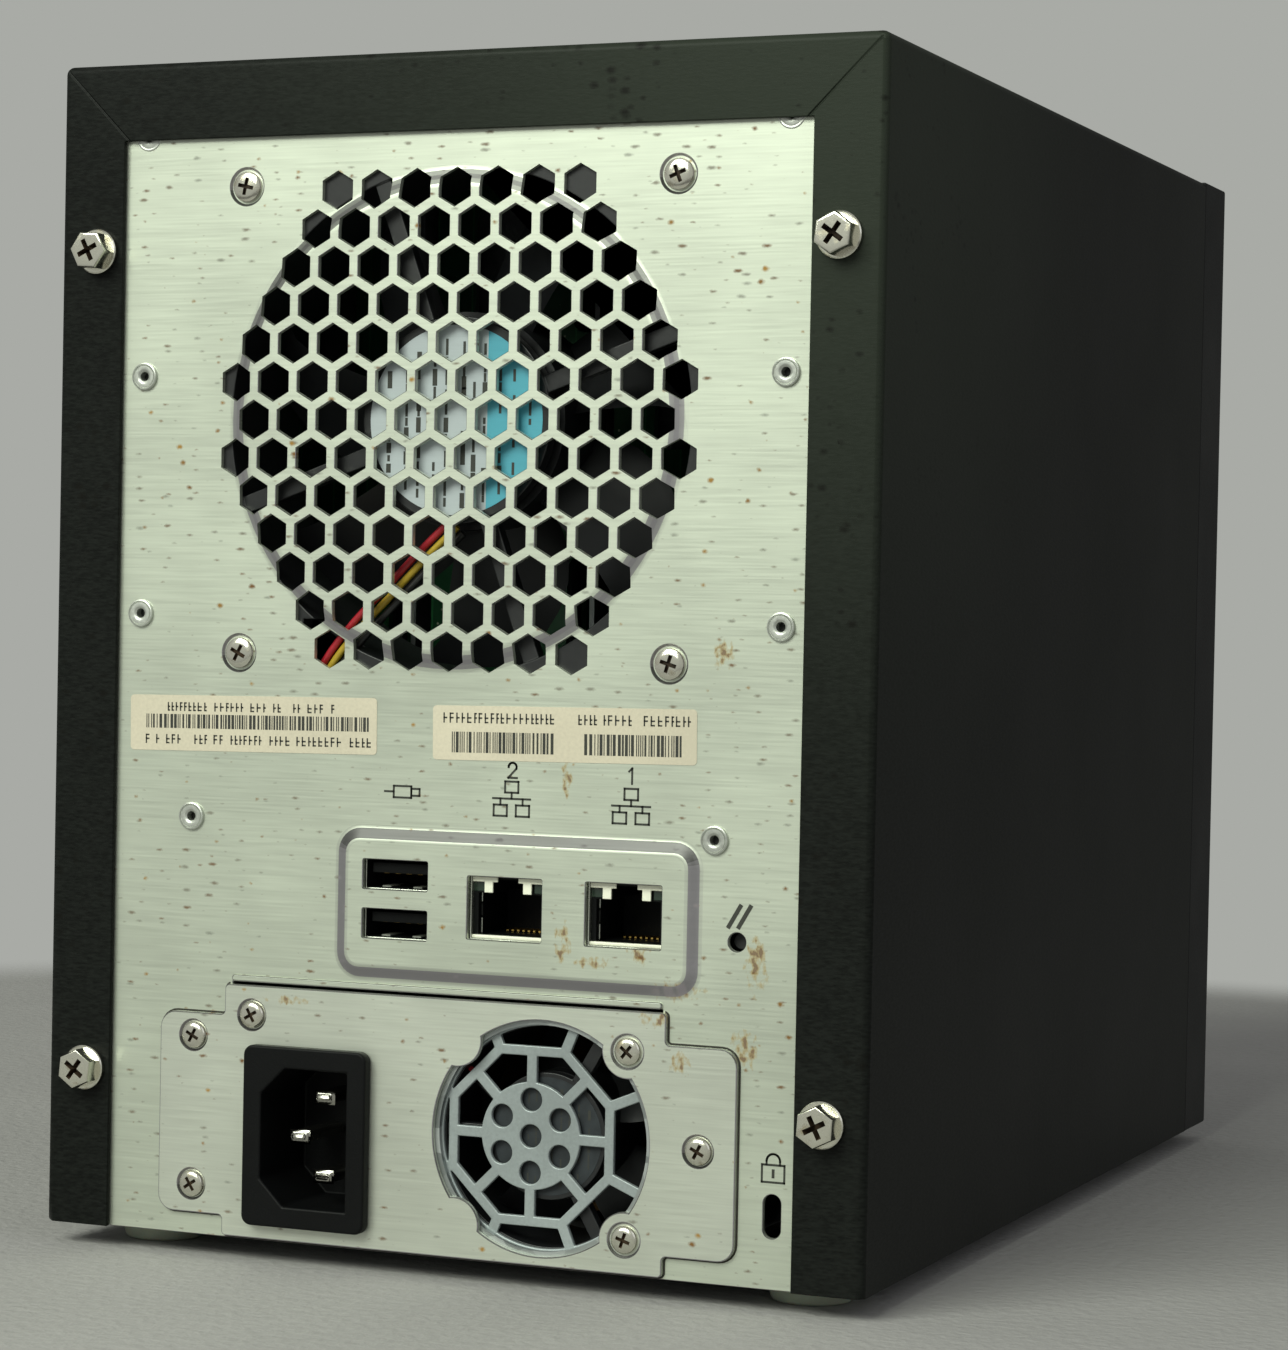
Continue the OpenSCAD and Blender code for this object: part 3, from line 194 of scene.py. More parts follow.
class FrontSettings(bpy.types.PropertyGroup):
    """Colours of the moulded front."""

    bezel_colour: colour("Bezel colour", "Textured plastic of the bezel", "#151617")
    tray_colour: colour("Tray colour", "Textured plastic of the trays", "#232427")
    lever_colour: colour("Lever colour", "Plastic of the tray levers", "#2f3134")
    button_colour: colour("Button colour", "Satin plastic of the power key", "#4a4c50")


class StageSettings(bpy.types.PropertyGroup):
    """The camera, the lamps and the floor."""

    aim: FloatVectorProperty(
        name="Aim", description="Point of the rear panel that the camera looks at",
        default=(-36.7 * MM, FACE_Y, 106.1 * MM), subtype="XYZ", unit="LENGTH",
    )
    distance: length("Distance", "Distance of the camera from its aim", 602.2, 5.0)
    azimuth: angle("Azimuth", "Turn of the camera round the box, from the front", 202.66)
    elevation: angle("Elevation", "Height of the camera above the horizon", 1.156)
    roll: angle("Roll", "Roll of the camera about its own axis", 1.122)
    lens: FloatProperty(name="Lens", description="Focal length in millimetres", default=94.99, min=10, max=300)
    floor_colour: colour("Floor colour", "Plain cloth of the floor", "#a4a2a1")
    wall_colour: colour("Wall colour", "Plain wall behind the box", "#a9aba6")


class BoxSettings(bpy.types.PropertyGroup):
    """Everything a user may change."""

    case: PointerProperty(type=CaseSettings)
    fans: PointerProperty(type=FanSettings)
    front: PointerProperty(type=FrontSettings)
    stage: PointerProperty(type=StageSettings)


def settings():
    """The settings kept on the scene."""
    return bpy.context.scene.storage_box


def chosen_colour(group, name):
    """One of the colours in a group of settings."""
    return tuple(getattr(getattr(settings(), group), name))


# ---- shapes ----

def in_mm(values):
    """Millimetres as metres."""
    return tuple(value * MM for value in values)


def linked(name, data):
    """A new object of some data, in the scene."""
    made = bpy.data.objects.new(name, data)
    bpy.context.scene.collection.objects.link(made)
    return made


def mesh_of(bm, name):
    """A new mesh of a bmesh, which is used up."""
    mesh = bpy.data.meshes.new(name)
    bm.to_mesh(mesh)
    bm.free()
    return mesh


def bmesh_of(mesh):
    """A bmesh of a mesh, which is used up."""
    bm = bmesh.new()
    bm.from_mesh(mesh)
    bpy.data.meshes.remove(mesh)
    return bm


def evaluated(made):
    """A new mesh of an object as its modifiers and curves leave it."""
    bpy.context.view_layer.update()
    return bpy.data.meshes.new_from_object(made.evaluated_get(bpy.context.evaluated_depsgraph_get()))


def block(low, high):
    """A bmesh box between two corners, given in metres."""
    bm = bmesh.new()
    size = Vector(high) - Vector(low)
    place = Matrix.Translation((Vector(low) + Vector(high)) / 2) @ Matrix.Diagonal((*size, 1))
    bmesh.ops.create_cube(bm, size=1.0, matrix=place)
    return bm


def slab(x, y, z):
    """A bmesh box from its two ends along each axis, given in millimetres."""
    return block(*[in_mm(corner) for corner in zip(x, y, z)])


def rod(radius, y0, y1, x, z, segments=48):
    """A bmesh cylinder along Y."""
    bm = bmesh.new()
    place = Matrix.Translation((x, (y0 + y1) / 2, z)) @ FACING_REAR
    bmesh.ops.create_cone(
        bm, cap_ends=True, segments=segments, radius1=radius, radius2=radius, depth=y1 - y0, matrix=place
    )
    return bm


def tablet(size, radius, y0, y1, centre, segments=6):
    """A bmesh plate with rounded corners that faces the rear: size in X and Z."""
    bm = bmesh.new()
    place = Matrix.Translation((centre[0], y1, centre[1])) @ FACING_REAR @ Matrix.Diagonal((*size, 1, 1))
    bmesh.ops.create_grid(bm, x_segments=1, y_segments=1, size=0.5, matrix=place)
    if radius > 0:
        bevelled(bm, bm.verts[:], radius, segments, "VERTICES")
    if y1 > y0:
        thicken(bm, y1 - y0)
    return bm


def thicken(bm, depth):
    """Gives a sheet that faces the rear its thickness, on its inner side."""
    back = bmesh.ops.extrude_face_region(bm, geom=bm.faces[:])
    moved = [v for v in back["geom"] if isinstance(v, bmesh.types.BMVert)]
    bmesh.ops.translate(bm, vec=(0, -depth, 0), verts=moved)
    bmesh.ops.recalc_face_normals(bm, faces=bm.faces)


def turned(profile, steps=32, closed=False):
    """A bmesh spun about Y from (radius, height) points in millimetres; poles are closed."""
    bm = bmesh.new()
    verts = [bm.verts.new((r * MM, h * MM, 0)) for r, h in profile]
    pairs = zip(verts, verts[1:] + verts[:1]) if closed else zip(verts, verts[1:])
    edges = [bm.edges.new(pair) for pair in pairs]
    bmesh.ops.spin(
        bm, geom=verts + edges, cent=(0, 0, 0), axis=(0, 1, 0), dvec=(0, 0, 0), angle=FULL_TURN, steps=steps,
        use_merge=True,
    )
    bmesh.ops.remove_doubles(bm, verts=bm.verts, dist=0.002 * MM)
    bmesh.ops.recalc_face_normals(bm, faces=bm.faces)
    return bm


def stamp(target, source, place=Matrix.Identity(4), index=None, keep=False):
    """Adds a bmesh to another at a place, with a material index of its own."""
    mesh = bpy.data.meshes.new("stamp")
    if index is not None:
        for face in source.faces:
            face.material_index = index
    source.to_mesh(mesh)
    mesh.transform(place)
    target.from_mesh(mesh)
    bpy.data.meshes.remove(mesh)
    if not keep:
        source.free()


def joined(*parts):
    """One bmesh of several."""
    bm = bmesh.new()
    for part in parts:
        stamp(bm, part)
    return bm


def bevelled(bm, chosen, width, segments, affect="EDGES"):
    """Rounds chosen edges or corners by a width."""
    bmesh.ops.bevel(
        bm, geom=chosen, offset=width, offset_type="OFFSET", segments=segments, profile=0.5, affect=affect,
        clamp_overlap=False, material=-1,
    )


def cleaned(bm):
    """Joins the points that a cut leaves side by side and makes its flat faces whole."""
    bmesh.ops.remove_doubles(bm, verts=bm.verts, dist=0.004 * MM)
    bmesh.ops.dissolve_limit(bm, angle_limit=math.radians(0.6), verts=bm.verts, edges=bm.edges)


def rounded_edges(bm, width, sharper_than=30, segments=2, edges=None):
    """Bevels the edges that are sharper than an angle in degrees."""
    limit = math.radians(sharper_than)
    chosen = [e for e in (edges or bm.edges) if len(e.link_faces) == 2 and e.calc_face_angle() > limit]
    bevelled(bm, chosen, width, segments)
    return bm


def carved(solid, cutter):
    """What is left of one bmesh when another is taken from it. Both are used up."""
    pair = [linked(name, mesh_of(bm, name)) for bm, name in ((solid, "solid"), (cutter, "cutter"))]
    cut = pair[0].modifiers.new("cut", "BOOLEAN")
    cut.operation = "DIFFERENCE"
    cut.solver = "EXACT"
    cut.object = pair[1]
    result = bmesh_of(evaluated(pair[0]))
    for made in pair:
        mesh = made.data
        bpy.data.objects.remove(made)
        bpy.data.meshes.remove(mesh)
    return result


def cad_copy(node):
    """A bmesh of a CAD node whose flat faces are whole again."""
    bm = merged(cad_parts[node].data)
    bmesh.ops.dissolve_limit(bm, angle_limit=math.radians(1), verts=bm.verts, edges=bm.edges)
    return bm


def piece(bm, name, body, finishes, replaces=(), smooth=40):
    """Makes a piece of a bmesh: it rides on its body and takes its finishes."""
    mesh = mesh_of(bm, name)
    for finish_name in [finishes] if isinstance(finishes, str) else finishes:
        mesh.materials.append(finish(finish_name))
    for polygon in mesh.polygons:
        polygon.use_smooth = True
    mesh.set_sharp_from_angle(angle=math.radians(smooth))
    made = linked(name, mesh)
    flat = made.modifiers.new("flat_faces", "WEIGHTED_NORMAL")
    flat.keep_sharp = True
    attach(made, body)
    if replaces:
        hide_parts(*replaces)
    return made


def softened(node, body, finishes, width=0.3, name=None, sharper_than=30, segments=2):
    """A piece that stands for a CAD node, with its edges rounded by a width in millimetres."""
    bm = rounded_edges(cad_copy(node), width * MM, sharper_than, segments)
    return piece(bm, name or f"{node}_finish", body, finishes, [node])


# ---- finishes ----

def add(tree, kind, inputs=None, out=0, **settings):
    """Adds a shader node with its settings, sets or links its inputs, and returns one of its outputs."""
    made = tree.nodes.new("ShaderNode" + kind)
    for name, value in settings.items():
        setattr(made, name, value)
    for key, value in (inputs or {}).items():
        if isinstance(value, bpy.types.NodeSocket):
            tree.links.new(value, made.inputs[key])
        else:
            made.inputs[key].default_value = value
    return made.outputs[out]


def maths(tree, operation, *values):
    """A maths node's result: one operation on its values."""
    return add(tree, "Math", dict(enumerate(values)), operation=operation)


def ranged(tree, value, start, end, first=0.0, last=1.0, **settings):
    """A value mapped from the range start to end to the range first to last."""
    return add(tree, "MapRange", {0: value, 1: start, 2: end, 3: first, 4: last}, **settings)


def blend(tree, factor, first, second):
    """A colour mixed from two by a factor."""
    return add(tree, "Mix", {0: factor, 6: first, 7: second}, 2, data_type="RGBA")


def weighed(tree, one, share, two, rest):
    """The sum of two values, each by its share."""
    return maths(tree, "MULTIPLY_ADD", two, rest, maths(tree, "MULTIPLY", one, share))


def tones_of(tree, value, base, darkest, lightest):
    """A colour that wanders with a noise value between two shares of itself."""
    ends = [[min(1, c * share) for c in base[:3]] + [1] for share in (darkest, lightest)]
    return blend(tree, ranged(tree, value, 0.35, 0.65), *ends)


def feed(shader, name, value):
    """Links a value to a shader's socket."""
    shader.id_data.links.new(value, shader.inputs[name])


def roughen(shader, height, strength, distance):
    """Gives a shader a bump from a height, with its distance in millimetres."""
    tree = shader.id_data
    bump = add(tree, "Bump", {"Strength": strength, "Distance": distance * MM, "Height": height})
    feed(shader, "Normal", bump)


def grain(tree, place, size, stretch=(1, 1, 1), detail=2.0, seed=0.0):
    """Noise with grains of a size in millimetres, drawn out along each axis by a factor."""
    spot = add(tree, "Mapping", {
        "Vector": place, "Location": (seed, seed, seed), "Scale": [1 / (size * MM * s) for s in stretch],
    })
    return add(tree, "TexNoise", {"Vector": spot, "Scale": 1.0, "Detail": detail})


def surface(name, base, roughness, metallic=0.0, **sockets):
    """A material, its tree, its shader with plain values set, and object coordinates.

    The base is a hex code, a linear colour, or the group and name of a setting.
    """
    material = bpy.data.materials.new(name)
    material.use_nodes = True
    tree = material.node_tree
    shader = tree.nodes["Principled BSDF"]
    if isinstance(base, str):
        base = linear(base)
    elif len(base) == 2:
        base = chosen_colour(*base)
    shader.inputs["Base Color"].default_value = base
    shader.inputs["Roughness"].default_value = roughness
    shader.inputs["Metallic"].default_value = metallic
    for socket, value in sockets.items():
        shader.inputs[socket.replace("_", " ")].default_value = value
    return material, tree, shader, add(tree, "TexCoord", out="Object")


def textured(
    name, base, roughness, size, relief, metallic=0.0, stretch=(1, 1, 1), tones=0.12, spread=0.08, **sockets
):
    """A finish with a fine relief, whose tone and gloss wander a little: size and relief in millimetres."""
    material, tree, shader, place = surface(name, base, roughness, metallic, **sockets)
    fine = grain(tree, place, size, stretch)
    broad = grain(tree, place, size * 40 + 12, detail=3.0, seed=4.0)
    mixed = weighed(tree, fine, 0.35, broad, 0.65)
    plain = shader.inputs["Base Color"].default_value
    feed(shader, "Base Color", tones_of(tree, mixed, plain, 1 - tones, 1 + tones))
    feed(shader, "Roughness", ranged(tree, mixed, 0.3, 0.7, roughness - spread, roughness + spread))
    roughen(shader, fine, 1.0, relief)
    return material


def specks(tree, place, cell, share, wide, seed, most=0.12, flat=True):
    """A mask of scattered flecks, and a chance value for each one's colour.

    The cell is in millimetres. Share of the cells hold a fleck, most is its largest radius in cells, and
    wide is its width to height. A flat pattern lies in X and Z, as on the rear panel.
    """
    wobble = add(tree, "TexNoise", {"Vector": place, "Scale": 1 / (0.6 * MM), "Detail": 2.0}, 1)
    moved = add(tree, "VectorMath", {0: wobble, 1: (0.5, 0.5, 0.5)}, operation="SUBTRACT")
    sway = (0.8 * MM, 0.8 * MM, 0.35 * MM)
    moved = add(tree, "VectorMath", {0: moved, 1: sway, 2: place}, operation="MULTIPLY_ADD")
    spot = add(tree, "Mapping", {
        "Vector": moved, "Location": (seed, seed, seed), "Rotation": (math.pi / 2 if flat else 0, 0, 0),
        "Scale": (1 / (cell * MM * wide), 1 / (cell * MM * wide), 1 / (cell * MM)),
    })
    near = add(tree, "TexVoronoi", {"Vector": spot, "Scale": 1.0}, voronoi_dimensions="2D" if flat else "3D")
    chance = add(tree, "SeparateColor", {0: near.node.outputs["Color"]})
    cloud = grain(tree, place, 14, detail=3.0, seed=seed)
    lumped = maths(tree, "MULTIPLY_ADD", cloud, 2.4, -1.2)
    lumped = maths(tree, "ADD", chance, lumped)
    reach = ranged(tree, lumped, 1 - share, 1.15, 0.0, most)
    inside = maths(tree, "SUBTRACT", reach, near)
    return ranged(tree, inside, 0.0, most * 0.7), chance.node.outputs[1]


def stain(tree, place, centre, size, seed):
    """Masks of blotches and of their cores inside a soft patch: centre and size in X and Z, in millimetres."""
    spot = add(tree, "Mapping", {
        "Vector": place, "Location": (-centre[0] / size[0], 0, -centre[1] / size[1]),
        "Scale": (1 / (size[0] * MM), 0, 1 / (size[1] * MM)),
    })
    spread = add(tree, "VectorMath", {0: spot}, 1, operation="LENGTH")
    patch = ranged(tree, spread, 0.15, 1.0, 0.55, 0.0, interpolation_type="SMOOTHSTEP")
    blotch = grain(tree, place, 1.1, (1.0, 1.0, 1.5), 4.0, seed)
    worn = maths(tree, "ADD", blotch, patch)
    core = ranged(tree, worn, 1.08, 1.17)
    return ranged(tree, worn, 0.95, 1.15, 0, 0.85), core


def plated_sheet(name, base, fleck_share, stains=()):
    """Zinc plated sheet steel, cold rolled: pale and satin, with fine lines across it and brown rust flecks,
    and painted shade on its pressed steps.
    """
    material, tree, shader, place = surface(name, base, 0.42, 0.7)
    lines = grain(tree, place, 0.22, (60, 60, 1.6), 3.0)
    cloud = grain(tree, place, 30, detail=4.0)
    mixed = weighed(tree, lines, 0.5, cloud, 0.5)
    sheet = tones_of(tree, mixed, shader.inputs["Base Color"].default_value, 0.92, 1.06)
    small, small_tint = specks(tree, place, 2.0, fleck_share, 2.6, 3.0, 0.21)
    large, large_tint = specks(tree, place, 6.0, fleck_share * 0.75, 1.3, 11.0, 0.1)
    rust = chosen_colour("case", "rust_colour")
    olive = blend(tree, small_tint, linear("#2e2a20"), rust)
    ochre = blend(tree, large_tint, rust, linear("#a27a2e"))
    faded = ranged(tree, small_tint, 0.0, 1.0, 0.45, 0.95)
    small = maths(tree, "MULTIPLY", small, faded)
    sheet = blend(tree, small, sheet, olive)
    sheet = blend(tree, large, sheet, ochre)
    spoiled = maths(tree, "MAXIMUM", small, large)
    for number, (centre, size) in enumerate(stains):
        drip, core = stain(tree, place, centre, size, 5.0 + number)
        drip_tone = blend(tree, core, linear("#a3822e"), rust)
        sheet = blend(tree, drip, sheet, drip_tone)
        spoiled = maths(tree, "MAXIMUM", spoiled, drip)
    # Painted shade on the pressed steps, for the dark room they reflect: grey where a step faces sideways or
    # down, darker where it faces up
    facing = add(tree, "SeparateXYZ", {0: add(tree, "NewGeometry", out=3)}, 1)
    step_shade_mask = ranged(tree, facing, 0.995, 0.95, 0.0, 0.9)
    cut = ranged(tree, facing, 0.1, 0.4)
    step_shade_mask = maths(tree, "MULTIPLY", step_shade_mask, cut)
    upward = ranged(tree, facing.node.outputs[2], 0.02, 0.2)
    painted_step_shade = blend(tree, upward, linear("#8a858d"), linear("#3f3b41"))
    sheet = blend(tree, step_shade_mask, sheet, painted_step_shade)
    feed(shader, "Base Color", sheet)
    feed(shader, "Metallic", ranged(tree, spoiled, 0, 1, 0.7, 0.0))
    feed(shader, "Roughness", ranged(tree, mixed, 0.3, 0.7, 0.36, 0.5))
    roughen(shader, maths(tree, "MULTIPLY_ADD", spoiled, 0.5, lines), 0.22, 0.03)
    return material


def powder_coat():
    """Black powder coat, baked: semi-gloss with a fine orange peel, its grains lying along the sheet."""
    base = chosen_colour("case", "cover_colour")
    material, tree, shader, place = surface("powder_coat_black", base, 0.42, Specular_IOR_Level=0.08)
    peel = grain(tree, place, 0.4, (3.5, 3.5, 1.0), 3.0)
    cloud = grain(tree, place, 45, detail=3.0, seed=2.0)
    pits, _ = specks(tree, place, 1.9, 0.75, 1.5, 21.0, 0.45, False)
    coat = tones_of(tree, weighed(tree, peel, 0.8, cloud, 0.2), base, 0.6, 1.4)
    # Painted sheen: the coat is made lighter towards the cover's top rear corner on its -X side
    corner = add(tree, "VectorMath", {
        0: place, 1: (COVER_LOW.x, COVER_HIGH.y, COVER_HIGH.z)}, 1, operation="DISTANCE")
    corner_sheen = ranged(tree, corner, 0.15, 0.0, 0.0, 0.75, interpolation_type="SMOOTHSTEP")
    coat = blend(tree, corner_sheen, coat, linear("#343a31"))
    coat = blend(tree, maths(tree, "MULTIPLY", pits, 0.85), coat, linear("#12120f"))
    feed(shader, "Base Color", coat)
    feed(shader, "Roughness", ranged(tree, cloud, 0.3, 0.7, 0.4, 0.45))
    roughen(shader, peel, 0.5, 0.05)
    return material


def galvanised():
    """Hot-dip galvanised sheet: grey zinc with flat crystals a few millimetres across."""
    material, tree, shader, place = surface("galvanised_steel", "#a9adad", 0.45, 0.85)
    spot = add(tree, "Mapping", {"Vector": place, "Scale": [1 / (5 * MM)] * 3})
    crystal = add(tree, "TexVoronoi", {"Vector": spot, "Scale": 1.0}, 1)
    shade = add(tree, "SeparateColor", {0: crystal})
    tone = blend(tree, shade, linear("#969b9b"), linear("#b6baba"))
    feed(shader, "Base Color", tone)
    feed(shader, "Roughness", ranged(tree, shade, 0, 1, 0.36, 0.55))
    return material


def nickel():
    """Nickel plated steel, cold headed: bright with a yellow cast, tarnished brown in patches."""
    material, tree, shader, place = surface("nickel_plated_steel", "#dedccd", 0.24, 1.0)
    cloud = grain(tree, place, 2.2, detail=4.0, seed=8.0)
    tarnish = ranged(tree, cloud, 0.56, 0.75, 0.0, 0.7)
    tone = blend(tree, tarnish, linear("#e6e4d6"), linear("#8f7c52"))
    feed(shader, "Base Color", tone)
    feed(shader, "Roughness", ranged(tree, tarnish, 0, 1, 0.2, 0.5))
    roughen(shader, grain(tree, place, 0.4), 0.5, 0.02)
    return material


def circuit_board(name):
    """Glass fibre board with green solder mask: copper tracks and pale dots show through it."""
    material, tree, shader, place = surface(name, "#174a2b", 0.35)
    spot = add(tree, "Mapping", {"Vector": place, "Scale": [1 / (2.2 * MM)] * 3})
    tracks = add(tree, "TexBrick", {
        "Vector": spot, "Scale": 1.0, "Mortar Size": 0.07, "Brick Width": 3.3, "Row Height": 0.6,
        "Color1": linear("#174a2b"), "Color2": linear("#1b5632"), "Mortar": linear("#2f7a48"),
    })
    pads = add(tree, "TexVoronoi", {"Vector": spot, "Scale": 0.7})
    dots = ranged(tree, pads, 0.1, 0.06, 0.0, 0.8)
    tone = blend(tree, dots, tracks, linear("#b9bda6"))
    feed(shader, "Base Color", tone)
    return material


def rubber_foot():
    """Silicone rubber, moulded: pale, cloudy and slightly translucent."""
    return textured("silicone_rubber", "#b4bba9", 0.5, 0.4, 0.02, tones=0.06, Subsurface_Weight=0.3,
                    Subsurface_Scale=2 * MM)


def clear_plastic():
    """Polycarbonate light pipe, moulded: clear with a milky end."""
    return textured("polycarbonate_clear", "#c9d8de", 0.2, 0.5, 0.005, tones=0.04, Transmission_Weight=0.6)


# Stains in X and Z: centre and half size, in millimetres
PANEL_STAINS = [
    ((-44, 53), (11, 4)), ((-37, 60), (5, 8)), ((-29, 57), (9, 2.6)), ((-56, 44), (6, 9)), ((-58, 58), (5, 12)),
    ((-23, 60), (3.5, 9)), ((-51, 110), (5, 5)), ((-23, 88), (2.5, 7)),
]
PLATE_STAINS = [((-41, 48), (9, 3)), ((-45, 41), (4, 5)), ((30, 47), (9, 2))]


def plain(*values, **sockets):
    """A textured finish that is made when it is asked for."""
    return lambda: textured(*values, **sockets)


FINISHES = {
    "powder coat": powder_coat,
    "panel sheet": lambda: plated_sheet(
        "plated_panel_sheet", chosen_colour("case", "panel_colour"), 0.95, PANEL_STAINS),
    "plate sheet": lambda: plated_sheet("plated_supply_sheet", linear("#d0d4c8"), 0.7, PLATE_STAINS),
    # Pressed and plated like the panel, painted darker for the shade where it sits in the case
    "guard sheet": plain("plated_guard_sheet", "#a3abac", 0.45, 0.5, 0.02, 0.4),
    "galvanised": galvanised,
    "nickel": nickel,
    # The slots of a screw gather rust and dirt
    "tarnished slot": plain("rusted_slot", "#3a2a18", 0.8, 0.5, 0.05, tones=0.45),
    # Aluminium eyelets, pressed: bright and smooth
    "rivet": plain("rivet_aluminium", "#c6c9c2", 0.4, 0.6, 0.02, 0.8),
    # Painted contact shadow, with some dust and rust, along a joint between two sheets
    "gap shadow and dirt": plain("dirt_in_joint", "#35332d", 0.85, 0.5, 0.02, tones=0.3),
    # Near black and matt: used as painted shade in the rivets' bores
    "dark bore": plain("dark_bore", "#161614", 0.7, 0.5, 0.02),
    "foot": rubber_foot,
    # PBT fan plastic, injection moulded: near black, satin
    "fan plastic": plain("moulded_fan_plastic", ("fans", "plastic_colour"), 0.4, 0.8, 0.01),
    # Printed foil label: fine brushed silver
    "label foil": plain("label_foil", ("fans", "label_colour"), 0.45, 0.3, 0.01, 0.25, (20, 20, 1), 0.05),
    # The same foil, painted dark for the shade behind its guard
    "shaded foil": plain("dull_label_foil", "#2a2f33", 0.5, 2.5, 0.01, 0.2, tones=0.6),
    "label accent": plain(
        "label_foil_accent", ("fans", "accent_colour"), 0.45, 0.3, 0.01, 0.1, (20, 20, 1), 0.05),
    # Uncoated label paper, yellowed
    "label paper": plain("yellowed_label_paper", "#d4cbb6", 0.7, 0.6, 0.02, tones=0.1),
    # Pad printing ink, matt
    "ink": plain("pad_printing_ink", "#33342f", 0.7, 0.4, 0.01, tones=0.2),
    # Glass-filled nylon, moulded: black with a dull bloom
    "nylon": plain("moulded_nylon", "#0b0c0d", 0.5, 0.35, 0.03, tones=0.25, Specular_IOR_Level=0.15),
    "pin metal": plain("nickel_pin", "#a9a79f", 0.22, 0.6, 0.01, 1.0),
    "shield metal": plain("tinned_shield", "#c8cbc0", 0.28, 0.5, 0.015, 0.9),
    # Painted highlight: near-white tin on the edges of a shell, for the glints those edges catch
    "bright tin": plain("bright_tin", "#fbfbe8", 0.4, 0.5, 0.01, 0.1, tones=0.04),
    "contact gold": plain("gold_plated_contact", "#d8b262", 0.28, 0.4, 0.01, 1.0),
    "lamp window": plain("tinted_lamp_window", "#25352a", 0.15, 0.6, 0.01, Coat_Weight=0.5),
    "bezel plastic": plain("textured_bezel_plastic", ("front", "bezel_colour"), 0.5, 0.5, 0.05, tones=0.15,
        Specular_IOR_Level=0.2),
    "tray plastic": plain("textured_tray_plastic", ("front", "tray_colour"), 0.5, 0.5, 0.05, tones=0.15),
    "lever plastic": plain("lever_plastic", ("front", "lever_colour"), 0.42, 0.5, 0.03, tones=0.12),
    "button plastic": plain("button_plastic", ("front", "button_colour"), 0.35, 0.5, 0.02, tones=0.1),
    "green board": lambda: circuit_board("green_solder_mask"),
    # Epoxy packages and black connectors, moulded
    "epoxy": plain("moulded_epoxy", "#1c1c1e", 0.55, 0.4, 0.02),
    "ivory plastic": plain("ivory_connector_plastic", "#d9d0b4", 0.45, 0.5, 0.02),
    "sleeve blue": plain("capacitor_sleeve", "#2b3050", 0.35, 0.5, 0.01),
    "tape yellow": plain("transformer_tape", "#c9a63a", 0.45, 0.5, 0.02),
    "copper wire": plain("enamelled_copper", "#9a5326", 0.3, 0.6, 0.05, 0.8, (1, 8, 1)),
    "paper board": plain("phenolic_board", "#8d6b38", 0.5, 0.5, 0.01),
    "brass": plain("turned_brass", "#c8b070", 0.3, 0.3, 0.02, 1.0),
    "aluminium": plain("extruded_aluminium", "#b4b7ba", 0.38, 0.25, 0.02, 0.9, (1, 40, 1)),
    "cast aluminium": plain("cast_aluminium", "#8d9093", 0.5, 0.7, 0.08, 0.85, tones=0.18),
    "stainless lid": plain("stamped_stainless_lid", "#b5b8bb", 0.3, 0.25, 0.01, 1.0, (1, 30, 1)),
    "spring steel": plain("spring_steel", "#b9b8b2", 0.3, 0.3, 0.01, 1.0),
    "clear plastic": clear_plastic,
    # PVC wire insulation, extruded
    "red wire": plain("red_insulation", "#a8202c", 0.4, 0.8, 0.01),
    "yellow wire": plain("yellow_insulation", "#b0942a", 0.4, 0.8, 0.01),
    "black wire": plain("black_insulation", "#141415", 0.4, 0.8, 0.01),
}
made_finishes = {}


def finish(name):
    """A finish by its name, made the first time that it is asked for."""
    if name not in made_finishes:
        made_finishes[name] = FINISHES[name]()
    return made_finishes[name]


# ---- the rear, from outside ----

def marked(bm, index, test):
    """Gives the faces whose middle passes a test a material index."""
    for face in bm.faces:
        if test(face.calc_center_median()):
            face.material_index = index
    return bm


def strokes(bm, points, width, y, lift=0.04, centre=(0, 0)):
    """Draws a line of thin bars on a face at y. Points and sizes are in millimetres, as seen from the rear."""
    for (u0, v0), (u1, v1) in zip(points, points[1:]):
        run = math.hypot(u1 - u0, v1 - v0)
        x, z = centre[0] - (u0 + u1) / 2, centre[1] + (v0 + v1) / 2
        place = (
            Matrix.Translation((x * MM, y + lift * MM / 2, z * MM))
            @ Matrix.Rotation(math.atan2(v1 - v0, u1 - u0), 4, "Y")
            @ Matrix.Diagonal(((run + width) * MM, lift * MM, width * MM, 1))
        )
        bmesh.ops.create_cube(bm, size=1.0, matrix=place)


def outline(width, height, at=(0, 0)):
    """The closed line of a rectangle about a point, for strokes."""
    w, h = width / 2, height / 2
    return [(at[0] + u, at[1] + v) for u, v in ((-w, -h), (w, -h), (w, h), (-w, h), (-w, -h))]


def arc(radius, start, end, at=(0, 0), steps=10):
    """Points on an arc between two angles in degrees, for strokes."""
    angles = [math.radians(start + (end - start) * k / steps) for k in range(steps + 1)]
    return [(at[0] + radius * math.cos(a), at[1] + radius * math.sin(a)) for a in angles]


def turn_to_rear(face):
    """Makes a face look along +Y."""
    face.normal_update()
    if face.normal.y < 0:
        face.normal_flip()


def relief(bm, loop, rise, slope, steps=5):
    """Fills a loop of points and presses it out along +Y in an S-shaped step. Returns the outer edges."""
    others = {e for e in bm.edges if e.is_boundary}
    face = bm.faces.new([bm.verts.new(p) for p in loop])
    turn_to_rear(face)
    for k in range(steps):
        before, after = k / steps, (k + 1) / steps
        climb = after * after * (3 - 2 * after) - before * before * (3 - 2 * before)
        bmesh.ops.inset_region(
            bm, faces=[face], thickness=slope / steps, depth=rise * climb, use_even_offset=True,
            use_boundary=True,
        )
    return [e for e in bm.edges if e.is_boundary and e not in others]


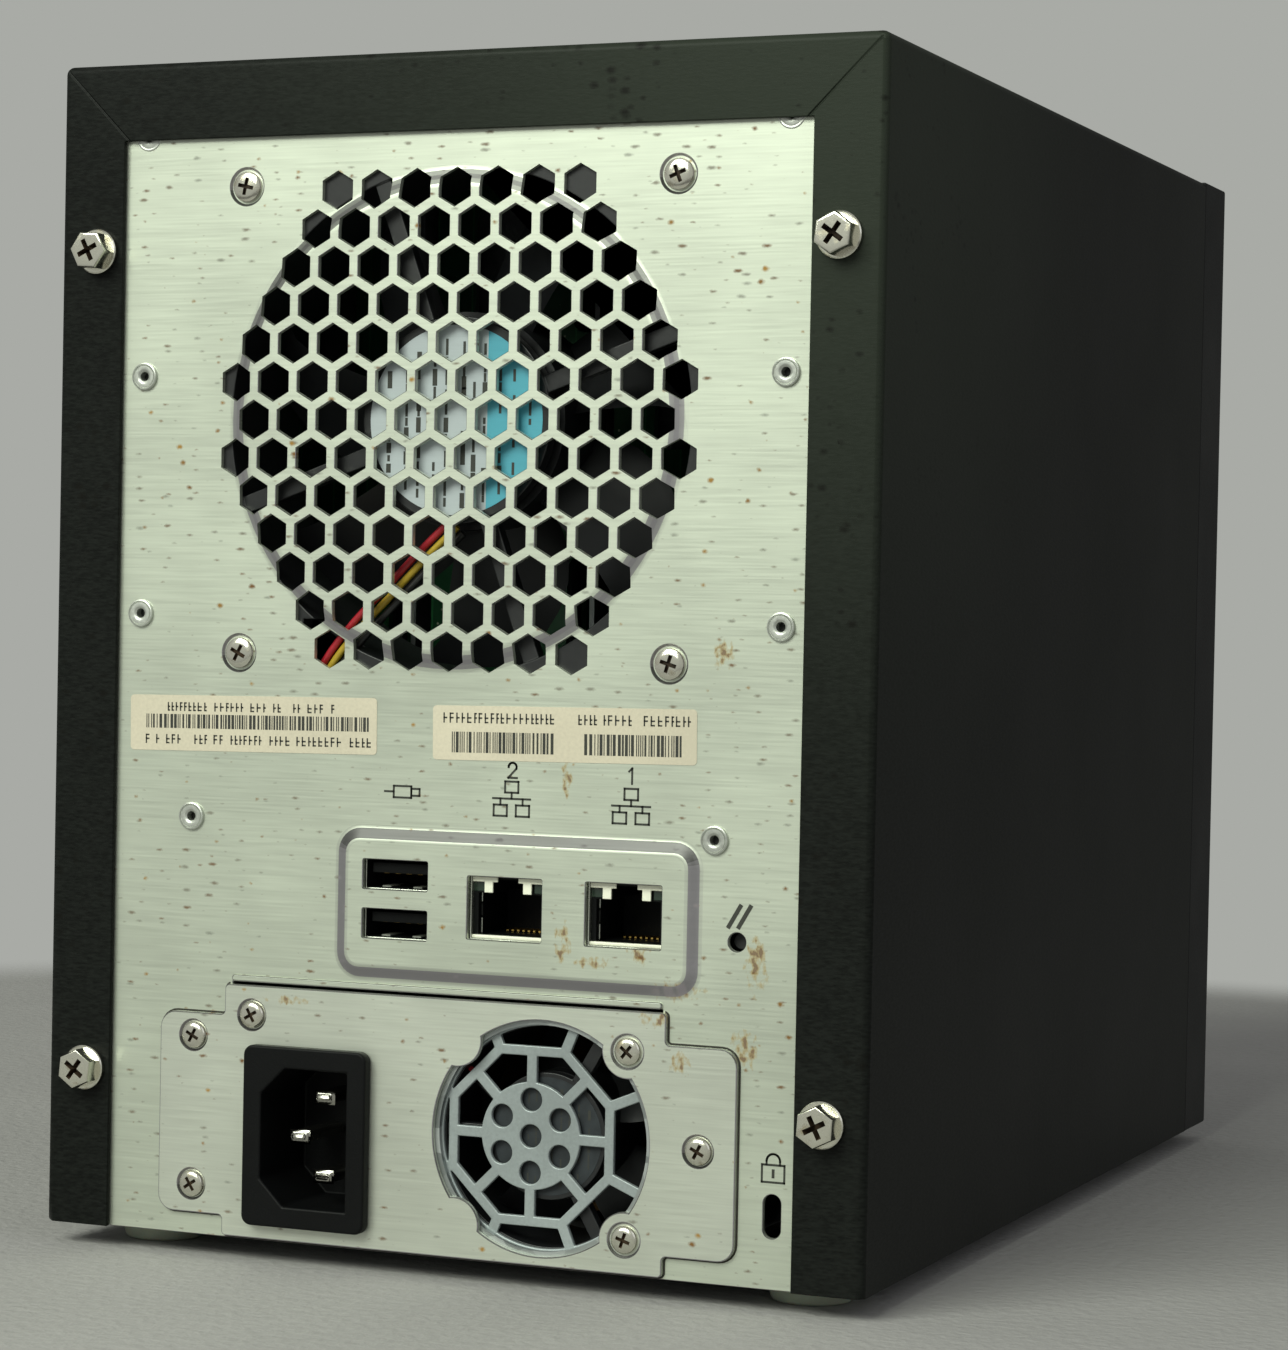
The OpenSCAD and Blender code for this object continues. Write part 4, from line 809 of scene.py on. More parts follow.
def circle_points(x, z, radius, y, count=96):
    """Points round a circle that faces the rear."""
    turns = [FULL_TURN * k / count for k in range(count)]
    return [(x + radius * math.cos(t), y, z + radius * math.sin(t)) for t in turns]


def square_corners(centre, half):
    """X and Z of the four corners of a square about a CAD place."""
    return [(centre.x + sx * half, centre.z + sz * half) for sx in (-1, 1) for sz in (-1, 1)]


def rounded_points(x, z, width, height, radius, y, steps=8):
    """Points round a rectangle with rounded corners that faces the rear."""
    points = []
    for corner, (sx, sz) in enumerate(((1, 1), (-1, 1), (-1, -1), (1, -1))):
        for k in range(steps + 1):
            turn = math.pi / 2 * (corner + k / steps)
            points.append((
                x + sx * (width / 2 - radius) + radius * math.cos(turn), y,
                z + sz * (height / 2 - radius) + radius * math.sin(turn),
            ))
    return points


def pressed_sheet(border, holes, reliefs, y):
    """A sheet with pressed reliefs, one sheet thick, lying where its points lie: y is not used. Borders and
    holes are loops of points.
    """
    bm = bmesh.new()
    rims = []
    for loop, rise, slope in reliefs:
        rims += relief(bm, loop, rise, slope)
    for loop in [border] + holes:
        verts = [bm.verts.new(p) for p in loop]
        rims += [bm.edges.new(pair) for pair in zip(verts, verts[1:] + verts[:1])]
    bmesh.ops.triangle_fill(bm, use_beauty=True, use_dissolve=False, edges=rims, normal=(0, 1, 0))
    for face in bm.faces:
        turn_to_rear(face)
    thicken(bm, SHEET)
    return bm


def hexagons(y0, y1):
    """The grille's hexagonal cutters, row by row from the top. Each flares a little at the dish's face."""
    case = settings().case
    rows = [7, 8, 9, 10, 11, 12, 11, 12, 11, 10, 9, 8, 7]
    radius = case.hex_flat / 2 / math.cos(math.pi / 6) / MM
    edge = case.cut_edge / MM
    flare = turned([
        (0, y0 / MM), (radius, y0 / MM), (radius, RAISED_Y / MM - edge),
        (radius + 2 * edge, RAISED_Y / MM + edge), (radius + 2 * edge, y1 / MM), (0, y1 / MM),
    ], 6)
    flare.transform(Matrix.Rotation(math.pi / 6, 4, "Y"))
    bm = bmesh.new()
    for row, count in enumerate(rows):
        z = FAN.z + ((len(rows) - 1) / 2 - row) * case.hex_pitch * math.sin(math.pi / 3)
        for k in range(count):
            x = (k - (count - 1) / 2) * case.hex_pitch
            stamp(bm, flare, Matrix.Translation((x, 0, z)), keep=True)
    flare.free()
    return bm


def holes_for(node, radius, count=24):
    """Cutters for the holes behind each fastener of a CAD node."""
    bm = bmesh.new()
    for x, z in middles(node):
        stamp(bm, rod(radius * MM, INSIDE_Y - MM, RAISED_Y + 3 * MM, x, z, count))
    return bm


# Places in X and sizes in X and Z, in millimetres. The field has its middle in X and Z and its width and height
SOCKETS = {"jacks": (-11.9, -34.1), "usb": 9.1, "field": (-13.5, BOARD_TOP / MM + 6.5, 69.4, 27.3)}
JACK_MOUTH, PLUG_MOUTH, LOCK_SLOT = (14.1, 10.9), (12.6, 5.2), (3.2, 7.4)
LOCK_AT, PINHOLE_X = (-61.7, 16.3), -54.5
SUPPLY_GAP = ((-41.35, 4.7), (41.35, 4.7), (41.35, 49.7), (-41.35, 49.7))
DIMPLE = 0.5 * MM                                           # depth of the pressed seats of the screws
FAN_HOLE, SUPPLY_FAN_HOLE = 41.25 * MM, 16 * MM             # from a fan's axis to its screws, in X and Z
PLATE_SCREW = 1.65 * MM                                     # radius of the holes for the plate's screws
PLUG_ROWS = (BOARD_TOP + 3 * MM, BOARD_TOP + 11.6 * MM)     # middles of the two stacked sockets


def rear_panel():
    """The rear panel: a plated sheet with a pressed dish, a pressed socket field and its holes."""
    case = settings().case
    low, high = PANEL_LOW, PANEL_HIGH
    border = [
        (x, FACE_Y, z) for x, z in ((low.x, low.z), (high.x, low.z), (high.x, high.z), (low.x, high.z))
    ]
    gap = [(x * MM, FACE_Y, z * MM) for x, z in SUPPLY_GAP]
    field = [v * MM for v in SOCKETS["field"]]
    rise = RAISED_Y - FACE_Y
    reliefs = [
        (circle_points(FAN.x, FAN.z, 44 * MM, FACE_Y), rise, case.dish_slope),
        (rounded_points(*field, 5 * MM, FACE_Y), rise, case.field_slope),
    ]
    for at in square_corners(FAN, FAN_HOLE):
        reliefs.append((circle_points(*at, 3.5 * MM, FACE_Y, 40), -DIMPLE, 0.45 * MM))
    sheet = pressed_sheet(border, [gap], reliefs, FACE_Y)
    y0, y1 = INSIDE_Y - 2 * MM, RAISED_Y + 2 * MM
    cutters = bmesh.new()
    for x in SOCKETS["jacks"]:
        centre = (x * MM, BOARD_TOP + 6.7 * MM)
        stamp(cutters, tablet(in_mm(JACK_MOUTH), 0.3 * MM, y0, y1, centre, 2))
    for z in PLUG_ROWS:
        stamp(cutters, tablet(in_mm(PLUG_MOUTH), 0.3 * MM, y0, y1, (SOCKETS["usb"] * MM, z), 2))
    stamp(cutters, rod(1.6 * MM, y0, y1, PINHOLE_X * MM, BOARD_TOP + 3.3 * MM, 32))
    stamp(cutters, tablet(in_mm(LOCK_SLOT), 1.58 * MM, y0, y1, in_mm(LOCK_AT), 10))
    for node, radius in (("cover_screws", 2.05), ("fan_screws", 2.25), ("rear_rivets", 1.75)):
        stamp(cutters, holes_for(node, radius))
    for x, z in middles("psu_screws"):
        if abs(x) > 45 * MM:
            stamp(cutters, rod(PLATE_SCREW, y0, y1, x, z, 24))
    bm = carved(sheet, cutters)
    cleaned(bm)
    rounded_edges(bm, case.cut_edge, 55, 1)
    bm = carved(bm, hexagons(y0, y1))
    bmesh.ops.remove_doubles(bm, verts=bm.verts, dist=0.004 * MM)
    lip = tablet((82.7 * MM, 1.2 * MM), 0.55 * MM, FACE_Y - 0.3 * MM, FACE_Y + 0.5 * MM, (0, 50.3 * MM), 5)
    stamp(bm, rounded_edges(lip, 0.3 * MM, 50, 3))
    return bm


def gap_shadow_line(border, width, y, top):
    """A dark line outside a plate's border, on the sheet under it, up to its open top: painted contact shadow,
    with some dirt.
    """
    bm = bmesh.new()
    around = list(zip(border[-1:] + border[:-1], border, border[1:] + border[:1]))
    turn = math.copysign(width, sum(here.x * after.z - after.x * here.z for _, here, after in around))
    pairs = []
    for before, here, after in around:
        along = (after - before).normalized()
        pairs.append((bm.verts.new((here.x, y, here.z)),
                      bm.verts.new((here.x + along.z * turn, y, here.z - along.x * turn))))
    for (near, far), (next_near, next_far) in zip(pairs, pairs[1:] + pairs[:1]):
        if min(near.co.z, next_near.co.z) < top:
            bm.faces.new((near, far, next_far, next_near))
    thicken(bm, 0.05 * MM)
    return bm


def supply_plate():
    """The supply's plate: a plated sheet with ears, dimples and openings for its fan and inlet."""
    low, high = PLATE_LOW, PLATE_HIGH
    half, ear_low, ear_high = 42.35 * MM, 8.0 * MM, 43.8 * MM
    shape = [
        (low.x, ear_low), (-half, ear_low), (-half, low.z), (half, low.z), (half, ear_low),
        (high.x, ear_low), (high.x, ear_high), (half, ear_high), (half, high.z), (-half, high.z),
        (-half, ear_high), (low.x, ear_high),
    ]
    bm = bmesh.new()
    bm.faces.new([bm.verts.new((x, high.y, z)) for x, z in shape])
    for target, radius in (((low.x, high.x), 3 * MM), ((-half, half), 0.8 * MM)):
        chosen = [v for v in bm.verts if any(abs(v.co.x - x) < 1e-6 for x in target)]
        bevelled(bm, chosen, radius, 6, "VERTICES")
    border = [loop.vert.co.copy() for loop in bm.faces[:][0].loops]
    bm.free()
    spots = middles("psu_screws")
    on_fan = [p for p in spots if math.hypot(p[0] - SUPPLY_FAN.x, p[1] - SUPPLY_FAN.z) < 25 * MM]
    free = [p for p in spots if p not in on_fan]
    reliefs = [(circle_points(x, z, 2.95 * MM, high.y, 40), -DIMPLE, 0.4 * MM) for x, z in free]
    sheet = pressed_sheet(border, [], reliefs, high.y)
    y0, y1 = low.y - 2 * MM, high.y + 2 * MM
    opening = rod(20.3 * MM, y0, y1, SUPPLY_FAN.x, SUPPLY_FAN.z, 96)
    for at in square_corners(SUPPLY_FAN, SUPPLY_FAN_HOLE):
        opening = carved(opening, rod(4.7 * MM, y0 - MM, y1 + MM, *at, 40))
    stamp(opening, tablet((21 * MM, 28.4 * MM), 0, y0, y1, (INLET.x, INLET.z)))
    for x, z in free:
        stamp(opening, rod(PLATE_SCREW, y0, y1, x, z, 24))
    bm = carved(sheet, opening)
    for x, z in on_fan:
        bm = carved(bm, rod(2.95 * MM, high.y - DIMPLE, y1, x, z, 40))
        bm = carved(bm, rod(PLATE_SCREW, y0, y1, x, z, 24))
    cleaned(bm)
    rounded_edges(bm, 0.2 * MM, 55, 2)
    # A thin dark line round the plate's border: painted contact shadow
    stamp(bm, gap_shadow_line(border, 0.34 * MM, FACE_Y + 0.04 * MM, high.z - 0.1 * MM), index=1)
    return bm


def cross_recess(bm, top, reach, depth):
    """Sinks a cross recess into a screw's head and gives it the second finish. Sizes are in millimetres."""
    slot = reach * 0.44
    for wide, tall in ((reach, slot / 2), (slot / 2, reach)):
        cutter = block((-wide * MM, (top - depth) * MM, -tall * MM), (wide * MM, (top + 1) * MM, tall * MM))
        for vert in cutter.verts:
            if vert.co.y < top * MM:
                vert.co.x *= 0.7
                vert.co.z *= 0.7
        bm = carved(bm, cutter)
    bm.normal_update()
    for face in bm.faces:
        middle_of_face = face.calc_center_median()
        if math.hypot(middle_of_face.x, middle_of_face.z) < reach * 0.95 * MM and middle_of_face.y > 0:
            if middle_of_face.y < (top - 0.12) * MM:
                face.material_index = 1
    return bm


def pan_screw(head, shank, length_mm):
    """A pan-head screw with a cross recess. Its head rests on y = 0 and stands towards +Y."""
    profile = [
        (0, -length_mm), (shank * 0.7, -length_mm), (shank, -length_mm + 0.6), (shank, 0), (head, 0),
        (head, 0.35), (head * 0.95, 0.68), (head * 0.81, 0.92), (head * 0.6, 1.05), (0, 1.1),
    ]
    return cross_recess(turned(profile, 40), 1.1, head * 0.68, 0.75)


def cover_screw():
    """A hexagonal screw with a washer face and a cross recess, standing towards +Y from y = 0."""
    washer = turned([
        (0, -7), (1.2, -7), (1.75, -6.2), (1.75, 0), (3.9, 0), (4, 0.12), (4, 0.8), (3.8, 1), (0, 1),
    ], 48)
    head = bmesh.new()
    place = Matrix.Translation((0, 2.25 * MM, 0)) @ FACING_REAR
    bmesh.ops.create_cone(
        head, cap_ends=True, segments=6, radius1=3.6 * MM, radius2=3.6 * MM, depth=3.5 * MM, matrix=place
    )
    top = [e for e in head.edges if all(v.co.y > 3.9 * MM for v in e.verts)]
    bevelled(head, top, 0.45 * MM, 2)
    head = cross_recess(head, 4.0, 2.3, 2.0)
    stamp(head, washer)
    return head


def screw_set(node, name, body, source, seat_y, seed):
    """A piece with a copy of a screw at each solid of a CAD node, each turned by chance."""
    chance = random.Random(seed)
    bm = bmesh.new()
    for x, z in middles(node):
        place = Matrix.Translation((x, seat_y, z))
        stamp(bm, source, place @ Matrix.Rotation(chance.uniform(0, FULL_TURN), 4, "Y"), keep=True)
    source.free()
    piece(bm, name, body, ["nickel", "tarnished slot"], [node], 35)


def rivet(head):
    """A hollow rivet with a rolled head, standing towards +Y from y = 0: the head's height in millimetres."""
    return turned([
        (0.85, -3.5), (0.85, head * 0.35), (1.15, head * 0.62), (1.35, head * 0.66), (1.9, head * 0.62),
        (2.02, head * 0.42), (2.12, head * 0.42), (2.24, head * 0.68), (2.42, head * 0.6),
        (2.5, head * 0.3), (2.5, 0), (1.6, 0), (1.6, -3.5),
    ], 32, closed=True)


def rivets():
    """The panel's rivets: tall heads, and flat ones where the cover's flange passes."""
    bm = bmesh.new()
    for low, high in solids("rear_rivets"):
        head = rivet((high.y - FACE_Y) / MM)
        # A near-black plug deep in the hollow rivet: painted shade in its bore
        stamp(head, rod(0.84 * MM, -3.2 * MM, -1.2 * MM, 0, 0, 16), index=1)
        stamp(bm, head, Matrix.Translation(((low.x + high.x) / 2, FACE_Y, (low.z + high.z) / 2)))
    return bm


class LOOKS_OT_cover(bpy.types.Operator):
    """Folds the powder coated cover and seats its hexagonal screws."""

    bl_idname = "looks.cover"
    bl_label = "Cover"

    def execute(self, context):
        case = settings().case
        bm = cad_copy("top_cover")
        planes = ((0, COVER_LOW.x), (0, COVER_HIGH.x), (2, COVER_HIGH.z), (1, COVER_HIGH.y))

        def folds(edge):
            return sum(all(abs(v.co[axis] - at) < 1e-6 for v in edge.verts) for axis, at in planes) > 1

        outer = [e for e in bm.edges if folds(e)]
        bevelled(bm, outer, case.fold_radius, 5)
        for side in (-1, 1):
            reach = case.flange * math.sqrt(2) + 4 * MM
            groove = block((-reach, -0.25 * MM, -case.mitre_gap / 2), (reach, 2 * MM, case.mitre_gap / 2))
            corner = Matrix.Translation((
                side * (COVER_HIGH.x - case.flange * 0.5), COVER_HIGH.y, COVER_HIGH.z - case.flange * 0.5
            ))
            groove.transform(corner @ Matrix.Rotation(-side * math.pi / 4, 4, "Y"))
            bm = carved(bm, groove)
        bmesh.ops.dissolve_limit(bm, angle_limit=math.radians(0.6), verts=bm.verts, edges=bm.edges)
        rounded_edges(bm, 0.15 * MM, 60, 1)
        piece(bm, "cover_sheet", "cover", "powder coat", ["top_cover"])
        screw_set("cover_screws", "cover_screw_set", "cover", cover_screw(), COVER_HIGH.y, 7)
        return {"FINISHED"}


class LOOKS_OT_panel(bpy.types.Operator):
    """Presses the rear panel and sets its rivets and fan screws."""

    bl_idname = "looks.panel"
    bl_label = "Rear panel"

    def execute(self, context):
        piece(rear_panel(), "rear_panel_sheet", "chassis", "panel sheet", ["rear_panel"], 30)
        piece(rivets(), "rear_rivet_set", "chassis", ["rivet", "dark bore"], ["rear_rivets"], 35)
        screw_set("fan_screws", "fan_screw_set", "chassis", pan_screw(2.75, 2, 9), FACE_Y - DIMPLE, 11)
        return {"FINISHED"}


class LOOKS_OT_supply(bpy.types.Operator):
    """Builds the power supply's plate, screws, guard, inlet and pins."""

    bl_idname = "looks.supply"
    bl_label = "Power supply"

    def execute(self, context):
        piece(supply_plate(), "supply_plate_sheet", "chassis", ["plate sheet", "gap shadow and dirt"],
              ["psu_plate"], 30)
        seat = PLATE_HIGH.y - DIMPLE
        screw_set("psu_screws", "supply_screw_set", "chassis", pan_screw(2.4, 1.5, 5), seat, 23)
        softened("psu_fan_guard", "chassis", "guard sheet", 0.22)
        softened("inlet_housing", "chassis", "nylon", 0.45, segments=3)
        softened("inlet_pins", "chassis", "pin metal", 0.6)
        return {"FINISHED"}


def lan_jack(x):
    """One network socket: a tinned shell round a black body with its notch, contacts and lamp windows."""
    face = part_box("lan_jacks")[1].y / MM
    low, high = BOARD_TOP / MM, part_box("lan_jacks")[1].z / MM
    mid_z = (low + high) / 2
    mouth_z = (low + 1.35, high - 1.1)
    shell = slab((-7.95, 7.95), (face - 16, face), (low, high))
    shell = carved(shell, slab((-6.85, 6.85), (face - 14, face + 1), mouth_z))
    rounded_edges(shell, 0.12 * MM, 50, 1)
    body = slab((-6.85, 6.85), (face - 14, face - 0.9), mouth_z)
    body = carved(body, slab((-5.9, 5.9), (face - 13, face), (low + 1.95, low + 9.2)))
    body = carved(body, slab((-3.1, 3.1), (face - 13, face), (low + 9, low + 11.6)))
    stamp(shell, rounded_edges(body, 0.1 * MM, 50, 1), index=1)
    for side in (-1, 1):
        depth = (face - 0.45, face - 0.05)
        tab = joined(
            slab((side * 4.35 - 2.4, side * 4.35 + 2.4), depth, (mid_z + 4.45, mid_z + 5.35)),
            slab((side * 3.65 - 0.8, side * 3.65 + 0.8), depth, (mid_z + 2.6, mid_z + 4.6)),
        )
        # The tabs take the tin with a painted highlight
        stamp(shell, rounded_edges(tab, 0.08 * MM, 50, 1), index=5)
        across = (side * 5.75 - 1.1, side * 5.75 + 1.1)
        window = slab(across, (face - 1.4, face - 0.8), (mid_z + 2.75, mid_z + 4.4))
        stamp(shell, rounded_edges(window, 0.1 * MM, 50, 1), index=2)
    for index, z0, z1 in ((0, -4.6, -1.9), (4, -1.6, 0.5), (0, 0.8, 2.5)):
        strip = slab((5.75, 6.8), (face - 2.6, face - 2.2), (mid_z + z0, mid_z + z1))
        stamp(shell, rounded_edges(strip, 0.08 * MM, 50, 1), index=index)
    # The lower lip takes the tin with a painted highlight
    lip = slab((-6.8, 6.8), (face - 1.6, face - 0.1), (low + 1.36, low + 1.95))
    stamp(shell, rounded_edges(lip, 0.15 * MM, 50, 2), index=5)
    for k in range(8):
        at = (k - 3.5) * 1.02
        stamp(shell, slab((at - 0.2, at + 0.2), (face - 12, face - 8), (low + 2.1, low + 2.4)), index=3)
    shell.transform(Matrix.Translation((x * MM, 0, 0)))
    return shell


def plug_socket(x, z, face, deep):
    """One type A socket at a face: a folded shell, its tongue with four contacts and a bright lower lip."""
    x, z, face, deep = [value / MM for value in (x, z, face, deep)]
    back = face - deep
    shell = slab((x - 6.6, x + 6.6), (back, face), (z - 3.0, z + 3.0))
    shell = carved(shell, slab((x - 6.15, x + 6.15), (back + 1, face + 1), (z - 2.45, z + 2.45)))
    inner_x, inner_z, front = 6.3 * MM, 2.6 * MM, (face - 0.6) * MM
    # The shell's inner walls, past its front rim, take the black plastic finish: painted shade inside the
    # socket
    marked(shell, 1, lambda c: c.y < front and abs(c.x - x * MM) < inner_x and abs(c.z - z * MM) < inner_z)
    rounded_edges(shell, 0.15 * MM, 50, 2)
    tongue = slab((x - 5.5, x + 5.5), (back + 1, face - 0.9), (z + 0.1, z + 1.95))
    stamp(shell, rounded_edges(tongue, 0.2 * MM, 50, 2), index=1)
    for k in range(4):
        at = x + (k - 1.5) * 2.2
        stamp(shell, slab((at - 0.5, at + 0.5), (back + 2, face - 2), (z, z + 0.12)), index=2)
    for at in (x - 3, x + 3):
        spring = slab((at - 0.9, at + 0.9), (face - 7, face - 1.5), (z - 2.46, z - 2.1))
        stamp(shell, rounded_edges(spring, 0.12 * MM, 50, 1), index=0)
    return shell


class LOOKS_OT_sockets(bpy.types.Operator):
    """Builds the network sockets, the stacked type A sockets and the reset pin."""

    bl_idname = "looks.sockets"
    bl_label = "Sockets"

    def execute(self, context):
        jacks = joined(*[lan_jack(x) for x in SOCKETS["jacks"]])
        finishes = ["shield metal", "nylon", "lamp window", "contact gold", "dark bore", "bright tin"]
        plug_finishes = ["shield metal", "nylon", "contact gold"]
        piece(jacks, "network_sockets", "chassis", finishes, ["lan_jacks"], 35)
        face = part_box("usb_ports")[1].y
        plugs = joined(*[plug_socket(SOCKETS["usb"] * MM, z, face, 14 * MM) for z in PLUG_ROWS])
        piece(plugs, "plug_sockets", "chassis", plug_finishes, ["usb_ports"], 35)
        low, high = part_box("front_usb_port")
        front = plug_socket(-(low.x + high.x) / 2, (low.z + high.z) / 2, -low.y, high.y - low.y)
        front.transform(Matrix.Rotation(math.pi, 4, "Z"))
        piece(front, "front_plug_socket", "chassis", plug_finishes, ["front_usb_port"], 35)
        softened("reset_button", "reset_pin", "epoxy", 0.3)
        softened("reset_switch", "chassis", "epoxy", 0.2)
        return {"FINISHED"}


# ---- fans, wires and labels ----

def blade(root, tip, chord, lean, thickness, sweep, mid_y):
    """One curved fan blade along +X, lofted through sections. Sizes are in millimetres, angles in degrees."""
    bm = bmesh.new()
    loops = []
    for k in range(7):
        t = k / 6
        radius = root + (tip - root) * t
        tilt = math.radians(lean + 7 * t)
        half = chord * (0.42 + 0.1 * math.sin(math.pi * min(1, t * 1.15)))
        ahead = math.radians(sweep) * t * t
        section = []
        for step in range(10):
            around = FULL_TURN * step / 10
            along = math.cos(around)
            camber = 0.13 * half * (1 - along * along)
            height = thickness / 2 * math.sin(around) * (1 - 0.35 * t) + camber
            y = along * half * math.cos(tilt) - height * math.sin(tilt)
            across = along * half * math.sin(tilt) + height * math.cos(tilt)
            turn = across / radius + ahead
            section.append(bm.verts.new((
                radius * MM * math.cos(turn), (mid_y + y) * MM, radius * MM * math.sin(turn)
            )))
        loops.append([bm.edges.new(pair) for pair in zip(section, section[1:] + section[:1])])
    for near, far in zip(loops, loops[1:]):
        bmesh.ops.bridge_loops(bm, edges=near + far)
    bmesh.ops.holes_fill(bm, edges=loops[0] + loops[-1], sides=0)
    bmesh.ops.recalc_face_normals(bm, faces=bm.faces)
    return bm


def rotor(node, centre, count, hub, tip, chord, lean, wall, sweep):
    """A rotor in place of a CAD node: a spun hub cup and curved blades. Sizes are in millimetres."""
    low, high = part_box(node)
    y0, y1 = low.y / MM, high.y / MM
    cup_top = y1 - (2.2 if hub > 15 else 1.4)
    bm = turned([
        (0, y0), (hub - 1.2, y0), (hub - 0.4, y0 + 0.3), (hub, y0 + 1.2), (hub, cup_top), (hub - wall, cup_top),
        (hub - wall, y0 + 2), (2.4, y0 + 2), (1.5, y0 + 2.6), (1.5 if hub > 15 else 1, y1 - 0.1), (0, y1 - 0.1),
    ], 64)
    one = blade(hub - 0.6, tip, chord, lean, 1.3, sweep, (y0 + cup_top) / 2)
    for k in range(count):
        stamp(bm, one, Matrix.Rotation(FULL_TURN * k / count, 4, "Y"), keep=True)
    one.free()
    bm.transform(Matrix.Translation((centre.x, 0, centre.z)))
    return bm


def disc_label(centre, radius, y, split, seed, size=1.0):
    """A round printed foil label whose ink stays unreadable: rows of ticks, and a second colour past a line."""
    bm = rod(radius * MM, y, y + 0.06 * MM, centre.x, centre.z, 72)
    bmesh.ops.bisect_plane(
        bm, geom=bm.verts[:] + bm.edges[:] + bm.faces[:], plane_co=(centre.x + split * MM, 0, 0),
        plane_no=(1, 0, 0),
    )
    marked(bm, 1, lambda c: c.x < centre.x + split * MM)
    chance = random.Random(seed)
    ticks = bmesh.new()
    row = radius - 2.4
    while row > -radius + 2.4:
        reach = math.sqrt(radius * radius - row * row) - 1.6
        u = -reach
        while u < reach:
            wide = chance.uniform(0.5, 2.4) * size
            if chance.random() < 0.72 and u + wide < reach:
                tall = chance.choice((0.5, 0.5, 0.9)) * size
                strokes(ticks, [(row, u), (row, u + wide)], tall, y + 0.06 * MM, 0.02,
                        (centre.x / MM, centre.z / MM))
            u += wide + chance.uniform(0.5, 1.3) * size
        row -= chance.uniform(1.9, 3.4) * size
    stamp(bm, ticks, index=2)
    return bm


def tube(points, radius, index):
    """A round wire through points, all in millimetres, as a mesh with smooth bends."""
    line = bpy.data.curves.new("wire", "CURVE")
    line.dimensions = "3D"
    line.bevel_depth = radius
    line.bevel_resolution = 3
    line.use_fill_caps = True
    line.resolution_u = 6
    spline = line.splines.new("BEZIER")
    spline.bezier_points.add(len(points) - 1)
    for point, place in zip(spline.bezier_points, points):
        point.co = Vector(place) * MM
        point.handle_left_type = point.handle_right_type = "AUTO"
    holder = linked("wire", line)
    bm = bmesh_of(evaluated(holder))
    bpy.data.objects.remove(holder)
    bpy.data.curves.remove(line)
    return marked(bm, index, lambda c: True)


def lead(d):
    """One wire's route from the rear fan's motor to the board, d millimetres beside the middle one."""
    inside, fan_z = INSIDE_Y / MM, FAN.z / MM
    head = (38, 88, BOARD_TOP / MM + 8.1)
    return [
        (-0.7 * d, inside - 1.6, fan_z - 18.4 - 0.7 * d), (6 - 0.7 * d, inside - 1.6, fan_z - 24 - 0.7 * d),
        (13 - 0.7 * d, inside - 1.6, fan_z - 31 - 0.7 * d), (19 - 0.8 * d, inside - 1.6, fan_z - 37 - 0.6 * d),
        (24 - 0.9 * d, inside - 1.6, fan_z - 43 - 0.3 * d), (26.5 - d, inside - 2.2, fan_z - 47),
        (28.5 - d, inside - 5, fan_z - 52), (31 - d, inside - 10, fan_z - 58),
        (34 - d, inside - 16, head[2] + 14), (37 - d, head[1] + 2, head[2] + 8),
        (head[0] - d, head[1], head[2] + 4), (head[0] - d, head[1], head[2]),
    ]


class LOOKS_OT_rear_fan(bpy.types.Operator):
    """Builds the rear fan's frame, rotor, hub label and lead."""

    bl_idname = "looks.rear_fan"
    bl_label = "Rear fan"

    def execute(self, context):
        fans = settings().fans
        softened("fan_frame", "chassis", "fan plastic", 0.25)
        bm = rotor("fan_rotor", FAN, fans.blades, fans.hub_radius / MM, 43, 21, 52, 1.8, 16)
        piece(bm, "rear_fan_rotor_finish", "rear_fan_rotor", "fan plastic", ["fan_rotor"])
        label = disc_label(FAN, 16.5, INSIDE_Y - 0.2 * MM, -6, 5)
        piece(label, "rear_fan_label", "chassis", ["label foil", "label accent", "ink"])
        wires = joined(*[tube(lead((k - 1) * 1.7), fans.wire_radius, k) for k in range(3)])
        piece(wires, "rear_fan_lead", "chassis", ["red wire", "yellow wire", "black wire"],
              ["fan_wires"])
        return {"FINISHED"}


class LOOKS_OT_supply_fan(bpy.types.Operator):
    """Builds the supply fan's frame, rotor, label and the end of its lead."""

    bl_idname = "looks.supply_fan"
    bl_label = "Supply fan"

    def execute(self, context):
        fans = settings().fans
        softened("psu_fan_frame", "chassis", "fan plastic", 0.2)
        hub = fans.supply_hub_radius / MM
        bm = rotor("psu_fan_rotor", SUPPLY_FAN, fans.supply_blades, hub, 18.3, 13, 50, 1.4, 14)
        piece(bm, "supply_fan_rotor_finish", "supply_fan_rotor", "fan plastic",
              ["psu_fan_rotor"])
        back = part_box("psu_fan_frame")[1].y
        label = disc_label(SUPPLY_FAN, 10.2, back - 0.4 * MM, -20, 9, 0.6)
        # The supply fan's label takes the foil painted dark with shade
        piece(label, "supply_fan_label", "chassis", ["shaded foil", "label accent", "ink"])
        x, y, z = SUPPLY_FAN.x / MM, back / MM, SUPPLY_FAN.z / MM
        bends = ((17.6, -3.4, 11.5), (15.6, -2.2, 10.4), (12.9, -1.4, 8.8), (9.8, -1.0, 6.4), (8.6, -1.6, 5.2))
        ends = []
        for index, lift in ((0, 0.0), (1, -1.1)):
            ends.append(tube([(x + u, y + v, z + w + lift) for u, v, w in bends], 0.5 * MM, index))
        piece(joined(*ends), "supply_fan_lead", "chassis", ["red wire", "black wire"])
        return {"FINISHED"}


